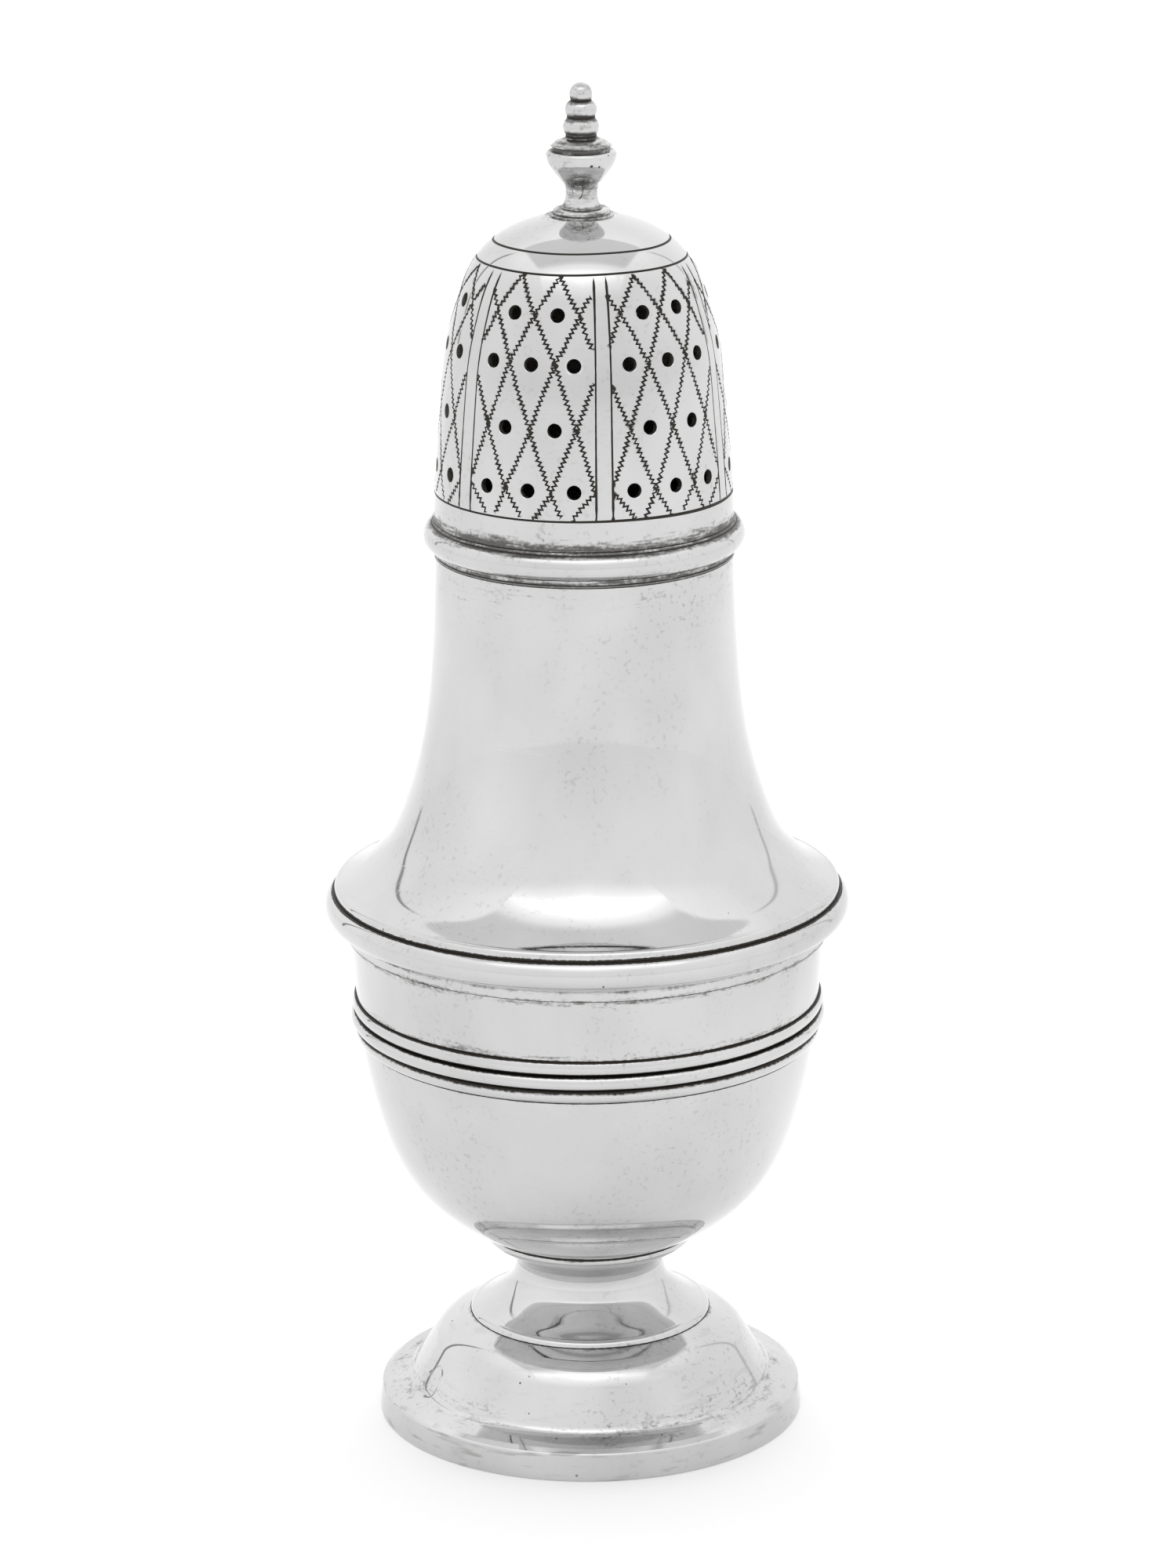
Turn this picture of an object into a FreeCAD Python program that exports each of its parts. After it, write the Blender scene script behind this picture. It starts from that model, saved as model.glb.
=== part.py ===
import FreeCAD, Part
import math
import os

# Antique silver sugar caster: a baluster body on a domed foot, with a pull-off pierced cover.
# Every piece is turned about the upright Z axis, which starts at the centre of the foot's underside.
# The front of the caster faces -Y. All sizes are millimetres.

# Foot rim: the upright band that the caster stands on
foot_radius = 27.1
foot_rim_height = 3.5
foot_rim_draft = 0.3
foot_rim_rounding = 0.35
foot_lip_rise = 0.5
foot_lip_width = 0.8
foot_ledge_width = 0.6

# Foot dome: a raised sheet, flat under the stem, then shoulder, steep side and flange
foot_sheet = 0.8
foot_dome_rise = 9.1
foot_seat_radius = 15.3
foot_vent_radius = 8.0
foot_shoulder_radius = 18.95
foot_shoulder_drop = 1.62
foot_hollow_radius = 23.05
foot_hollow_height = 0.65
foot_shoulder_rounding = 6.4
foot_hollow_rounding = 2.1

# Stem: a cast spool between the foot and the bowl
stem_height = 9.7
stem_waist_radius = 9.57
stem_waist_height = 6.5
stem_top_radius = 12.35
stem_wall = 1.15
stem_edge_radius = 0.85
stem_skirt_radius = 12.4
stem_skirt_height = 0.6
stem_flare_start = 4.9

# Collar: the turned ring between the stem and the bowl
collar_height = 1.5
collar_top_radius = 13.45
collar_bulge = 0.28

# Lower body: bowl and drum raised in one sheet
body_sheet = 0.9
bowl_height = 39.85
drum_radius = 29.75
drum_lip_height = 5.5

# Reed band: a triple-reeded strip round the widest part of the bowl
reed_band_low = 26.3
reed_pitch = 1.82
reed_groove_floor = 0.12
reed_stands_out = (0.6, 0.95, 0.58)

# Shoulder moulding: a half-round ring that joins the two halves of the body
shoulder_fillet_height = 1.2
shoulder_fillet_width = 0.6
shoulder_nose_width = 3.25
shoulder_nose_round = 2.0
shoulder_nose_height = 3.75

# Upper body: shoulder and neck raised in one sheet
shoulder_lip_setback = 1.2
shoulder_lip_height = 0.5
shoulder_lip_rounding = 0.75
neck_radius = 18.5
upper_body_height = 42.65
neck_sheet = 0.8

# Neck rim: the wire that stiffens the mouth and carries the cover
neck_rim_height = 0.95
neck_rim_stands_out = 0.12

# Cover: dome, moulding, sleeve and finial
seat_gap = 0.05
sleeve_clearance = 0.05
sleeve_length = 11.0
sleeve_wall = 0.6
sleeve_overlap = 3.5
dome_sheet = 0.8
dome_stands_out = 0.12
dome_band_height = 4.0
dome_height = 41.9
dome_flat_radius = 4.4
ring_foot_width = 0.33
ring_width = 1.34
ring_nose_height = 1.9
ring_ledge_width = 0.85
ring_ledge_height = 3.35
ring_cove_width = 0.22
ring_cove_height = 3.7

# Piercing: holes drilled square to the dome, in six panels
hole_radius = 0.9
panel_count = 6
first_panel_angle = 38.0
row_of_two = (-10.6, 10.6)
row_of_three = (-18.3, 0, 18.3)
hole_rows = ((32.5, row_of_two), (26.65, row_of_three), (18.85, row_of_two), (11.4, row_of_three))

# Finial: a cast baluster with two beads and a ball, on a stepped base
base_plate_radius = 3.95
base_plate_height = 0.25
base_disc_radius = 3.5
base_disc_height = 0.65
base_disc_rounding = 0.4
tang_radius = 0.9
tang_tail = 0.7
finial_height = 15.35
finial_foot_radius = 2.55
finial_waist_radius = 1.93
finial_bulb_radius = 4.34
finial_rim_round = 0.5
finial_groove_depth = 0.35
finial_cap_radius = 3.75
finial_cap_lip = 0.15
finial_cap_bulge = 0.12
finial_neck_radius = 1.9
finial_neck_height = 0.5
lower_bead_radius = 2.2
middle_crease_radius = 1.73
upper_bead_radius = 1.95
upper_crease_radius = 1.27
ball_radius = 1.4

# Outlines, as shares of the sizes that they follow: each is (share of radius, share of height)
stem_flare_shares = ((1.0, 0.0), (0.82, 0.083), (0.51, 0.265), (0.27, 0.45), (0.1, 0.65), (0.0, 1.0))
stem_cup_shares = ((0.0, 0.0), (0.12, 0.31), (0.48, 0.63), (1.0, 1.0))
bowl_shares = ((0.0, 0.0), (0.16, 0.036), (0.334, 0.087), (0.525, 0.166), (0.678, 0.268), (0.817, 0.424),
               (0.921, 0.617), (0.972, 0.812), (1.0, 1.0))
neck_shares = ((1.0, 0.0), (0.873, 0.029), (0.757, 0.053), (0.661, 0.08), (0.522, 0.128), (0.354, 0.227),
               (0.199, 0.377), (0.104, 0.527), (0.052, 0.676), (0.018, 0.84), (0.0, 1.0))
dome_shares = ((1.0, 0.0), (0.987, 0.111), (0.956, 0.274), (0.918, 0.438), (0.865, 0.602), (0.791, 0.71),
               (0.686, 0.818), (0.531, 0.9), (0.327, 0.955), (0.0, 1.0))
finial_foot_shares = ((1.0, 0.0), (0.62, 0.17), (0.28, 0.42), (0.08, 0.7), (0.0, 1.0))
finial_bulb_shares = ((0.0, 0.0), (0.03, 0.12), (0.32, 0.35), (0.66, 0.58), (0.91, 0.8), (1.0, 1.0))
finial_stage_shares = (0.135, 0.43, 0.49, 0.593, 0.728)

# Directions and allowances
origin = FreeCAD.Vector(0, 0, 0)
up = FreeCAD.Vector(0, 0, 1)
full_turn = 360
quarter_turn = 90
half = 0.5
overrun = 2.0

# How far the cones of a turned curve may lie from it, where it shows and where it is hidden
outer_sag = 0.12
inner_sag = 0.4
fine_sag = 0.06

# Heights where the pieces meet
foot_edge_top = foot_rim_height + foot_lip_rise
foot_seat = foot_edge_top + foot_dome_rise
stem_seat = foot_seat + stem_height
bowl_seat = stem_seat + collar_height
drum_top = bowl_seat + bowl_height
shoulder_seat = drum_top + drum_lip_height
neck_top = shoulder_seat + upper_body_height
mouth = neck_top + neck_rim_height
cover_seat = mouth + seat_gap
dome_top = cover_seat + dome_height
base_plate_top = dome_top + base_plate_height
finial_seat = base_plate_top + base_disc_height

# Radii that follow from those of the drum and the neck
shoulder_nose_radius = drum_radius + shoulder_nose_width
shoulder_lip_radius = shoulder_nose_radius - shoulder_lip_setback
dome_radius = neck_radius + dome_stands_out


def point(radius, height):
    """A place on the section plane."""
    return FreeCAD.Vector(radius, 0, height)


def between(shares, start, end):
    """Places given as shares of the way from one radius and height to another."""
    places = []
    for radius_share, height_share in shares:
        radius = end[0] + radius_share * (start[0] - end[0])
        height = start[1] + height_share * (end[1] - start[1])
        places.append(point(radius, height))
    return places


def rising(shares, start, end):
    """The same for an outline whose radius share grows from the start to the end."""
    flipped = [(1 - radius_share, height_share) for radius_share, height_share in shares]
    return between(flipped, start, end)


def smooth(places):
    """A smooth curve through the places."""
    spline = Part.BSplineCurve()
    spline.interpolate(places)
    return spline


def inward(places, wall):
    """The places moved by the wall, square to their own smooth curve and towards the axis."""
    spline = smooth(places)
    moved = []
    for place in places:
        along = spline.tangent(spline.parameter(place))[0]
        moved.append(place + FreeCAD.Vector(-along.z, 0, along.x) * wall)
    return moved


def radius_at(spline, height):
    """The radius of a smooth outline at a height."""
    level = Part.LineSegment(point(0, height), point(foot_radius + drum_radius, height))
    return spline.intersectCC(level)[0].X


class Section:
    """A closed outline of radius and height, drawn piece by piece and turned about the axis.

    Rounds and smooth curves are turned as narrow cones that stay within the sag of the true curve.
    """

    def __init__(self, radius, height, sag=outer_sag):
        self.places = [point(radius, height)]
        self.sag = sag

    def follow(self, edge):
        """Goes on along a curved edge that starts at the outline's last place."""
        self.places += edge.discretize(Deflection=self.sag)[1:]

    def line(self, radius, height):
        self.places.append(point(radius, height))

    def arc(self, via, end):
        self.follow(Part.Arc(self.places[-1], point(*via), point(*end)).toShape())

    def curve(self, places):
        self.follow(smooth(places).toShape())

    def hidden(self):
        """What follows is out of sight, and turned with fewer cones."""
        self.sag = inner_sag

    def rounded(self, corner, end, radius):
        """A line to a corner, rounded, that ends on the way to the next place."""
        here = point(*corner)
        before = (self.places[-1] - here).normalize()
        after = (point(*end) - here).normalize()
        half_angle = half * before.getAngle(after)
        tangent = radius / math.tan(half_angle)
        depth = radius / math.sin(half_angle) - radius
        start = here + before * tangent
        finish = here + after * tangent
        nearest = here + (before + after).normalize() * depth
        self.places.append(start)
        self.follow(Part.Arc(start, nearest, finish).toShape())

    def turned(self):
        """The solid that the closed outline sweeps in one full turn."""
        outline = Part.makePolygon(self.places + self.places[:1])
        return Part.Face(outline).revolve(origin, up, full_turn)


def foot_rim():
    """The band round the foot's edge, with a ledge that the dome's edge lies in."""
    top_radius = foot_radius - foot_rim_draft
    lip = top_radius - foot_lip_width
    ledge = foot_edge_top - foot_sheet
    bore = lip - foot_ledge_width
    section = Section(bore, 0)
    section.line(foot_radius, 0)
    section.rounded((top_radius, foot_rim_height), (lip, foot_edge_top), foot_rim_rounding)
    section.line(lip, foot_edge_top)
    section.line(lip, ledge)
    section.line(bore, ledge)
    return section.turned()


def foot_dome():
    """The raised foot: flange, hollow, steep side, shoulder and the flat seat of the stem."""
    edge = foot_radius - foot_rim_draft - foot_lip_width
    hollow = foot_edge_top + foot_hollow_height
    shoulder = foot_seat - foot_shoulder_drop
    side_lean = math.atan2(shoulder - hollow, foot_hollow_radius - foot_shoulder_radius)
    shift = foot_sheet * math.tan(half * side_lean)
    section = Section(edge, foot_edge_top)
    section.rounded((foot_hollow_radius, hollow), (foot_shoulder_radius, shoulder), foot_hollow_rounding)
    section.rounded((foot_shoulder_radius, shoulder), (foot_seat_radius, foot_seat), foot_shoulder_rounding)
    section.line(foot_seat_radius, foot_seat)
    section.line(foot_vent_radius, foot_seat)
    section.line(foot_vent_radius, foot_seat - foot_sheet)
    section.line(foot_seat_radius, foot_seat - foot_sheet)
    section.line(foot_shoulder_radius - shift, shoulder - foot_sheet)
    section.line(foot_hollow_radius - shift, hollow - foot_sheet)
    section.line(edge, foot_edge_top - foot_sheet)
    return section.turned()


def foot_stem():
    """The spool: a rounded base edge, a flare to the waist and a cup below the collar."""
    waist = foot_seat + stem_waist_height
    roll = foot_seat + stem_edge_radius
    flare_foot = foot_seat_radius - stem_edge_radius
    bore = stem_waist_radius - stem_wall
    flare = between(stem_flare_shares, (flare_foot, roll), (stem_waist_radius, waist))
    cup = rising(stem_cup_shares, (stem_waist_radius, waist), (stem_top_radius, stem_seat))
    section = Section(foot_seat_radius, foot_seat)
    turn = stem_edge_radius * math.sqrt(half)
    section.arc((flare_foot + turn, foot_seat + turn), (flare_foot, roll))
    section.curve(flare + cup[1:])
    section.line(bore, stem_seat)
    section.line(bore, foot_seat + stem_flare_start)
    section.line(stem_skirt_radius, foot_seat + stem_skirt_height)
    section.line(stem_skirt_radius, foot_seat)
    return section.turned()


def bowl_collar():
    """The turned ring between stem and bowl, convex outside and bored like the stem."""
    bore = stem_waist_radius - stem_wall
    section = Section(bore, stem_seat)
    section.line(stem_top_radius, stem_seat)
    middle_radius = half * (stem_top_radius + collar_top_radius) + collar_bulge
    middle_height = half * (stem_seat + bowl_seat) - collar_bulge
    section.arc((middle_radius, middle_height), (collar_top_radius, bowl_seat))
    section.line(bore, bowl_seat)
    return section.turned()


def bowl_outline():
    """The outside of bowl and drum, from the collar to the shoulder moulding."""
    return rising(bowl_shares, (collar_top_radius, bowl_seat), (drum_radius, drum_top))


def lower_body():
    """Bowl and drum in one sheet, with a straight lip that the moulding is fitted round."""
    outside = bowl_outline()
    inside = inward(outside, body_sheet)
    section = Section(0, bowl_seat)
    section.line(collar_top_radius, bowl_seat)
    section.curve(outside)
    section.line(drum_radius, shoulder_seat)
    section.line(drum_radius - body_sheet, shoulder_seat)
    section.line(inside[-1].x, inside[-1].z)
    section.hidden()
    section.curve(inside[::-1])
    section.line(0, bowl_seat + body_sheet)
    return section.turned()


def reed_band():
    """Three reeds in one strip, bent round the bowl and lying on its outside."""
    low = bowl_seat + reed_band_low
    spline = smooth(bowl_outline())
    heights = [low + number * reed_pitch for number in range(len(reed_stands_out) + 1)]
    back = drum_radius - body_sheet - reed_stands_out[1]
    section = Section(back, low)
    section.line(radius_at(spline, low), low)
    for number, stands_out in enumerate(reed_stands_out):
        middle = half * (heights[number] + heights[number + 1])
        nose = radius_at(spline, middle) + stands_out
        groove = radius_at(spline, heights[number + 1]) + reed_groove_floor
        section.arc((nose, middle), (groove, heights[number + 1]))
    section.line(back, heights[-1])
    core = Section(0, bowl_seat)
    core.line(collar_top_radius, bowl_seat)
    core.curve(bowl_outline())
    core.line(0, drum_top)
    return section.turned().cut(core.turned())


def shoulder_moulding():
    """The half-round ring over the joint of the body, with a small fillet below it."""
    nose = drum_top + shoulder_nose_height
    centre = shoulder_nose_radius - shoulder_nose_round
    fillet_radius = drum_radius + shoulder_fillet_width
    reach = shoulder_nose_round * math.sqrt(half)
    edge = math.sqrt(shoulder_nose_round ** 2 - (shoulder_seat - nose) ** 2)
    section = Section(drum_radius, drum_top)
    section.line(fillet_radius, drum_top)
    section.line(fillet_radius, drum_top + shoulder_fillet_height)
    section.line(centre + reach, nose - reach)
    section.arc((shoulder_nose_radius, nose), (centre + edge, shoulder_seat))
    section.line(drum_radius, shoulder_seat)
    return section.turned()


def upper_body():
    """Shoulder and neck in one sheet, turned down at its edge to stand on the moulding."""
    lip_top = shoulder_seat + shoulder_lip_height + shoulder_lip_rounding
    slope_radius = shoulder_lip_radius - shoulder_lip_rounding
    outside = between(neck_shares, (slope_radius, lip_top), (neck_radius, neck_top))
    inside = inward(outside, neck_sheet)
    turn = shoulder_lip_rounding * math.sqrt(half)
    section = Section(shoulder_lip_radius, shoulder_seat)
    section.line(shoulder_lip_radius, lip_top - shoulder_lip_rounding)
    section.arc((slope_radius + turn, lip_top - shoulder_lip_rounding + turn), (slope_radius, lip_top))
    section.curve(outside)
    section.line(neck_radius - neck_sheet, neck_top)
    section.hidden()
    section.curve([point(neck_radius - neck_sheet, neck_top)] + inside[-2::-1])
    section.line(shoulder_lip_radius - neck_sheet, shoulder_seat)
    return section.turned()


def neck_rim():
    """The wire round the mouth of the neck."""
    outer = neck_radius + neck_rim_stands_out
    bore = neck_radius - neck_sheet
    section = Section(bore, neck_top)
    section.line(outer, neck_top)
    section.line(outer, mouth)
    section.line(bore, mouth)
    return section.turned()


def dome_outline():
    """The outside of the dome, from its straight band to the flat seat of the finial."""
    return between(dome_shares, (dome_radius, cover_seat + dome_band_height), (dome_flat_radius, dome_top))


def hole_cutter(spline, height, angle):
    """A drill through the dome at a height and a turn from the front, square to the outside."""
    place = point(radius_at(spline, height), height)
    along = spline.tangent(spline.parameter(place))[0]
    outward = FreeCAD.Vector(along.z, 0, -along.x)
    length = overrun + dome_sheet + overrun
    start = place - outward * (dome_sheet + overrun)
    drill = Part.makeCylinder(hole_radius, length, start, outward)
    drill.rotate(origin, up, angle - quarter_turn)
    return drill


def cover_dome():
    """The domed top of the cover, pierced in six panels of two, three, two and three holes."""
    outside = dome_outline()
    inside = inward(outside, dome_sheet)
    band_top = cover_seat + dome_band_height
    bore = dome_radius - dome_sheet
    section = Section(bore, cover_seat)
    section.line(dome_radius, cover_seat)
    section.line(dome_radius, band_top)
    section.curve(outside)
    section.line(tang_radius, dome_top)
    section.line(tang_radius, dome_top - dome_sheet)
    section.line(inside[-1].x, dome_top - dome_sheet)
    section.hidden()
    section.curve([point(inside[-1].x, dome_top - dome_sheet)] + inside[-2:0:-1] + [point(bore, band_top)])
    shell = section.turned()
    spline = smooth(outside)
    drills = []
    for panel in range(panel_count):
        middle = first_panel_angle + panel * full_turn / panel_count
        for height, turns in hole_rows:
            for turn in turns:
                drills.append(hole_cutter(spline, cover_seat + height, middle + turn))
    return shell.cut(drills)


def cover_moulding():
    """The half-round ring round the foot of the dome, with a narrow ledge and cove above it."""
    section = Section(dome_radius, cover_seat)
    section.line(dome_radius + ring_foot_width, cover_seat)
    section.arc((dome_radius + ring_width, cover_seat + ring_nose_height),
                (dome_radius + ring_ledge_width, cover_seat + ring_ledge_height))
    section.line(dome_radius + ring_cove_width, cover_seat + ring_cove_height)
    section.line(dome_radius, cover_seat + dome_band_height)
    return section.turned()


def cover_sleeve():
    """The inner ring that slips into the neck, set out a little where it is fixed in the dome."""
    running = neck_radius - neck_sheet - sleeve_clearance
    fixed = dome_radius - dome_sheet
    bore = running - sleeve_wall
    low = cover_seat - sleeve_length
    section = Section(bore, low)
    section.line(running, low)
    section.line(running, cover_seat)
    section.line(fixed, cover_seat)
    section.line(fixed, cover_seat + sleeve_overlap)
    section.line(bore, cover_seat + sleeve_overlap)
    return section.turned()


def finial_base():
    """The stepped disc under the finial, bored for its tang."""
    section = Section(tang_radius, dome_top)
    section.line(base_plate_radius, dome_top)
    section.line(base_plate_radius, base_plate_top)
    section.line(base_disc_radius, base_plate_top)
    section.rounded((base_disc_radius, finial_seat), (tang_radius, finial_seat), base_disc_rounding)
    section.line(tang_radius, finial_seat)
    return section.turned()


def finial():
    """The cast baluster: foot, waist, bulb with a grooved top, two beads, a ball and a tang below."""
    waist, bulb, cap, neck, middle = [finial_seat + share * finial_height for share in finial_stage_shares]
    top = finial_seat + finial_height
    tail = dome_top - dome_sheet - tang_tail
    ball = top - ball_radius
    upper = ball - math.sqrt(ball_radius ** 2 - upper_crease_radius ** 2)
    foot = between(finial_foot_shares, (finial_foot_radius, finial_seat), (finial_waist_radius, waist))
    bulge = rising(finial_bulb_shares, (finial_waist_radius, waist), (finial_bulb_radius, bulb))
    rim = finial_bulb_radius - finial_rim_round
    turn = finial_rim_round * math.sqrt(half)
    groove = rim - finial_groove_depth
    section = Section(0, tail, fine_sag)
    section.line(tang_radius, tail)
    section.line(tang_radius, finial_seat)
    section.line(finial_foot_radius, finial_seat)
    section.curve(foot + bulge[1:])
    section.arc((rim + turn, bulb + turn), (rim, bulb + finial_rim_round))
    section.line(groove, bulb + finial_rim_round)
    section.line(groove, cap)
    section.line(finial_cap_radius, cap + finial_cap_lip)
    cap_top = neck - finial_neck_height
    cap_middle = half * (cap + finial_cap_lip + cap_top) + finial_cap_bulge
    section.arc((half * (finial_cap_radius + finial_neck_radius) + finial_cap_bulge, cap_middle),
                (finial_neck_radius, cap_top))
    section.line(finial_neck_radius, neck)
    section.arc((lower_bead_radius, half * (neck + middle)), (middle_crease_radius, middle))
    section.arc((upper_bead_radius, half * (middle + upper)), (upper_crease_radius, upper))
    section.arc((ball_radius, ball), (0, top))
    return section.turned()


pieces = {
    "foot_rim": foot_rim,
    "foot_dome": foot_dome,
    "foot_stem": foot_stem,
    "bowl_collar": bowl_collar,
    "lower_body": lower_body,
    "reed_band": reed_band,
    "shoulder_moulding": shoulder_moulding,
    "upper_body": upper_body,
    "neck_rim": neck_rim,
    "cover_sleeve": cover_sleeve,
    "cover_moulding": cover_moulding,
    "cover_dome": cover_dome,
    "finial_base": finial_base,
    "finial": finial,
}

os.makedirs("parts", exist_ok=True)
for name, make in pieces.items():
    shape = make()
    shape.exportStep("parts/" + name + ".step")
    print(name, "valid", shape.isValid(), "solids", len(shape.Solids), "volume", round(shape.Volume, 1))
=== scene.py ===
# %% [markdown]
# # A worn silver sugar caster
# The caster is turned work: every piece is a section swept round one upright axis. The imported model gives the
# sizes and seats of its pieces. This notebook dresses each piece with a smooth turned surface, drills and
# engraves the cover, and gives the metal the haze, scratches and dark creases of old silver.

# %% Load the frame
import math

import bpy
import numpy as np
from mathutils import Matrix, Vector, kdtree
from mathutils.geometry import delaunay_2d_cdt


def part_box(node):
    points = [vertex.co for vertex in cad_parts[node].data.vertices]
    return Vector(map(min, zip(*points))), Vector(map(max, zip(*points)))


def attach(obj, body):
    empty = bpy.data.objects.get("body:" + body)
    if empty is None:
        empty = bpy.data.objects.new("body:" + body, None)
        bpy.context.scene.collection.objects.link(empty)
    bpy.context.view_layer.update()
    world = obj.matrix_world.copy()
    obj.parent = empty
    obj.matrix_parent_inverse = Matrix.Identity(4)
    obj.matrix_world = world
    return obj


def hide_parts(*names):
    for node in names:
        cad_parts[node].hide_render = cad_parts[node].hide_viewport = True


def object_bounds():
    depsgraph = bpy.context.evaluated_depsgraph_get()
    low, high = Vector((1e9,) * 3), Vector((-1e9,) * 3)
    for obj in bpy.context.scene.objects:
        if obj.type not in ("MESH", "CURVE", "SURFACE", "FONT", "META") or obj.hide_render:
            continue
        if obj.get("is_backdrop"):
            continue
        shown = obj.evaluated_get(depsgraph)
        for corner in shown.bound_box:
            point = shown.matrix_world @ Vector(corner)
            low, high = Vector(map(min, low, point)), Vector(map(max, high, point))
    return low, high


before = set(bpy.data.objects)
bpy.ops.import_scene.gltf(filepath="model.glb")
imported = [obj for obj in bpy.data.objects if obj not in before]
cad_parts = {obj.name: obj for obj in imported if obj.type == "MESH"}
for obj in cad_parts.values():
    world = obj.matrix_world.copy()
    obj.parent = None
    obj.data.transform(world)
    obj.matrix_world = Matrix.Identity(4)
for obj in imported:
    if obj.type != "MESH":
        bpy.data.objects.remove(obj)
cad_low, cad_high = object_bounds()
mm = 0.001
half_root = math.sqrt(0.5)


def add_object(name, data):
    """A new object in the scene."""
    made = bpy.data.objects.new(name, data)
    bpy.context.scene.collection.objects.link(made)
    return made


print("caster", [round(side / mm, 1) for side in cad_high - cad_low], "mm")

# %% [markdown]
# ## Camera
# The photograph was taken with a long lens from a little above. Its camera was found from the ellipses of the
# foot, the shoulder and the cover. The lens is given for a 36 mm high sensor, because the picture is upright.

# %% Camera
camera_place = Vector((0.241, -705.68, 289.43)) * mm
camera_pitch = math.radians(16.3131)
camera_roll = math.radians(0.43056)
camera_data = bpy.data.cameras.new("camera")
camera_data.sensor_fit = "VERTICAL"
camera_data.sensor_height = 36.0
camera_data.lens = 134.688
camera_data.clip_start = 0.01
camera = add_object("camera", camera_data)
upright = Matrix.Rotation(math.radians(90) - camera_pitch, 4, "X")
camera.matrix_world = Matrix.Translation(camera_place) @ upright @ Matrix.Rotation(-camera_roll, 4, "Z")
bpy.context.scene.camera = camera
bpy.context.scene.view_settings.view_transform = "Standard"
print("camera looks down", round(math.degrees(camera_pitch), 1), "degrees")

# %% [markdown]
# ## Studio
# Silver shows its surroundings more than itself. The studio is a white tent that gets brighter above. A darker
# panel hangs overhead, and the paper behind the object ends in two upright edges. All of it shows in the metal.
# One wide soft light in front makes the white gleams. The floor is pale and keeps the shadow.

# %% Small helpers for node trees


class Tree:
    """Adds nodes to a node tree and links them in one call."""

    def __init__(self, tree):
        self.tree = tree

    def add(self, kind, links=None, **settings):
        """A node of a kind, with its settings, and with values or sockets for its inputs."""
        node = self.tree.nodes.new(kind)
        for name, value in settings.items():
            setattr(node, name, value)
        for name, value in (links or {}).items():
            self.put(node.inputs[name], value)
        return node

    def put(self, socket, value):
        """A socket gets another socket's output, or a plain value."""
        if isinstance(value, bpy.types.NodeSocket):
            self.tree.links.new(value, socket)
        else:
            socket.default_value = value

    def math(self, operation, first, *others):
        """A Math node's result. With more than two values, the operation goes on with each further one."""
        for other in others or (None,):
            values = {0: first} if other is None else {0: first, 1: other}
            first = self.add("ShaderNodeMath", values, operation=operation).outputs[0]
        return first

    def times(self, *values):
        return self.math("MULTIPLY", *values)

    def plus(self, *values):
        return self.math("ADD", *values)

    def most(self, *values):
        return self.math("MAXIMUM", *values)

    def apart(self, first, second):
        """How far two values are from each other."""
        return self.math("ABSOLUTE", self.math("SUBTRACT", first, second))

    def vector(self, operation, *values):
        """A Vector Math node's results."""
        return self.add("ShaderNodeVectorMath", dict(enumerate(values)), operation=operation).outputs

    def fade(self, value, low, high, start=0.0, end=1.0):
        """A smooth step of a value between two limits."""
        links = {"Value": value, "From Min": low, "From Max": high, "To Min": start, "To Max": end}
        return self.add("ShaderNodeMapRange", links, interpolation_type="SMOOTHSTEP").outputs["Result"]

    def blend(self, share, first, second):
        """Two colours mixed by a share."""
        node = self.add("ShaderNodeMix", data_type="RGBA")
        for number, value in ((0, share), (6, first), (7, second)):
            self.put(node.inputs[number], value)
        return node.outputs[2]

    def noise(self, place, scale, detail=2.0, stretch=None):
        """The height of a noise at a place, finer with a higher scale."""
        if stretch:
            place = self.vector("MULTIPLY", place, stretch)[0]
        links = {"Vector": place, "Scale": scale, "Detail": detail}
        return self.add("ShaderNodeTexNoise", links).outputs["Fac"]

    def seen(self):
        """1 for what the camera or a reflection sees, and 0 for the light that matt things get."""
        rays = self.add("ShaderNodeLightPath").outputs
        return self.most(rays["Is Camera Ray"], rays["Is Glossy Ray"], rays["Is Transmission Ray"])


def fresh_tree(owner):
    """The emptied node tree of a world, light or material."""
    owner.use_nodes = True
    owner.node_tree.nodes.clear()
    return Tree(owner.node_tree)


def grey(level):
    """A plain grey of that level."""
    return (level, level, level, 1.0)


print("helpers ready")

# %% World: a white tent, brighter above and a little darker towards the camera
tent_low, tent_middle, tent_above, tent_front = 1.12, 1.19, 1.38, 0.94
low_heights, high_heights, front_reach = (-0.05, 0.3), (0.55, 0.9), (-0.95, -0.3)
world = bpy.data.worlds.new("tent")
bpy.context.scene.world = world
sky = fresh_tree(world)
axes = sky.add("ShaderNodeSeparateXYZ", {0: sky.add("ShaderNodeTexCoord").outputs["Generated"]}).outputs
rising_light = sky.fade(axes["Z"], *low_heights, tent_low, tent_middle)
tent = sky.times(sky.fade(axes["Z"], *high_heights, rising_light, tent_above),
                 sky.fade(axes["Y"], *front_reach, tent_front, 1.0))
print("tent is", tent_above, "above and", tent_front, "in front")

# %% The darker panel overhead
panel_shade, panel_lowest = 0.97, 0.3
panel_side, panel_front, panel_back = (0.56, 0.66), (-0.30, -0.05), (0.62, 0.67)
high_up = sky.most(axes["Z"], 0.02)
aside, away = (sky.math("DIVIDE", axes[axis], high_up) for axis in "XY")
within = sky.times(sky.fade(sky.math("ABSOLUTE", aside), *panel_side, 1.0, 0.0), sky.fade(away, *panel_front),
                   sky.fade(away, *panel_back, 1.0, 0.0), sky.math("GREATER_THAN", axes["Z"], panel_lowest))
tent = sky.fade(within, 0.0, 1.0, tent, panel_shade)
print("panel shade", panel_shade)

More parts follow.
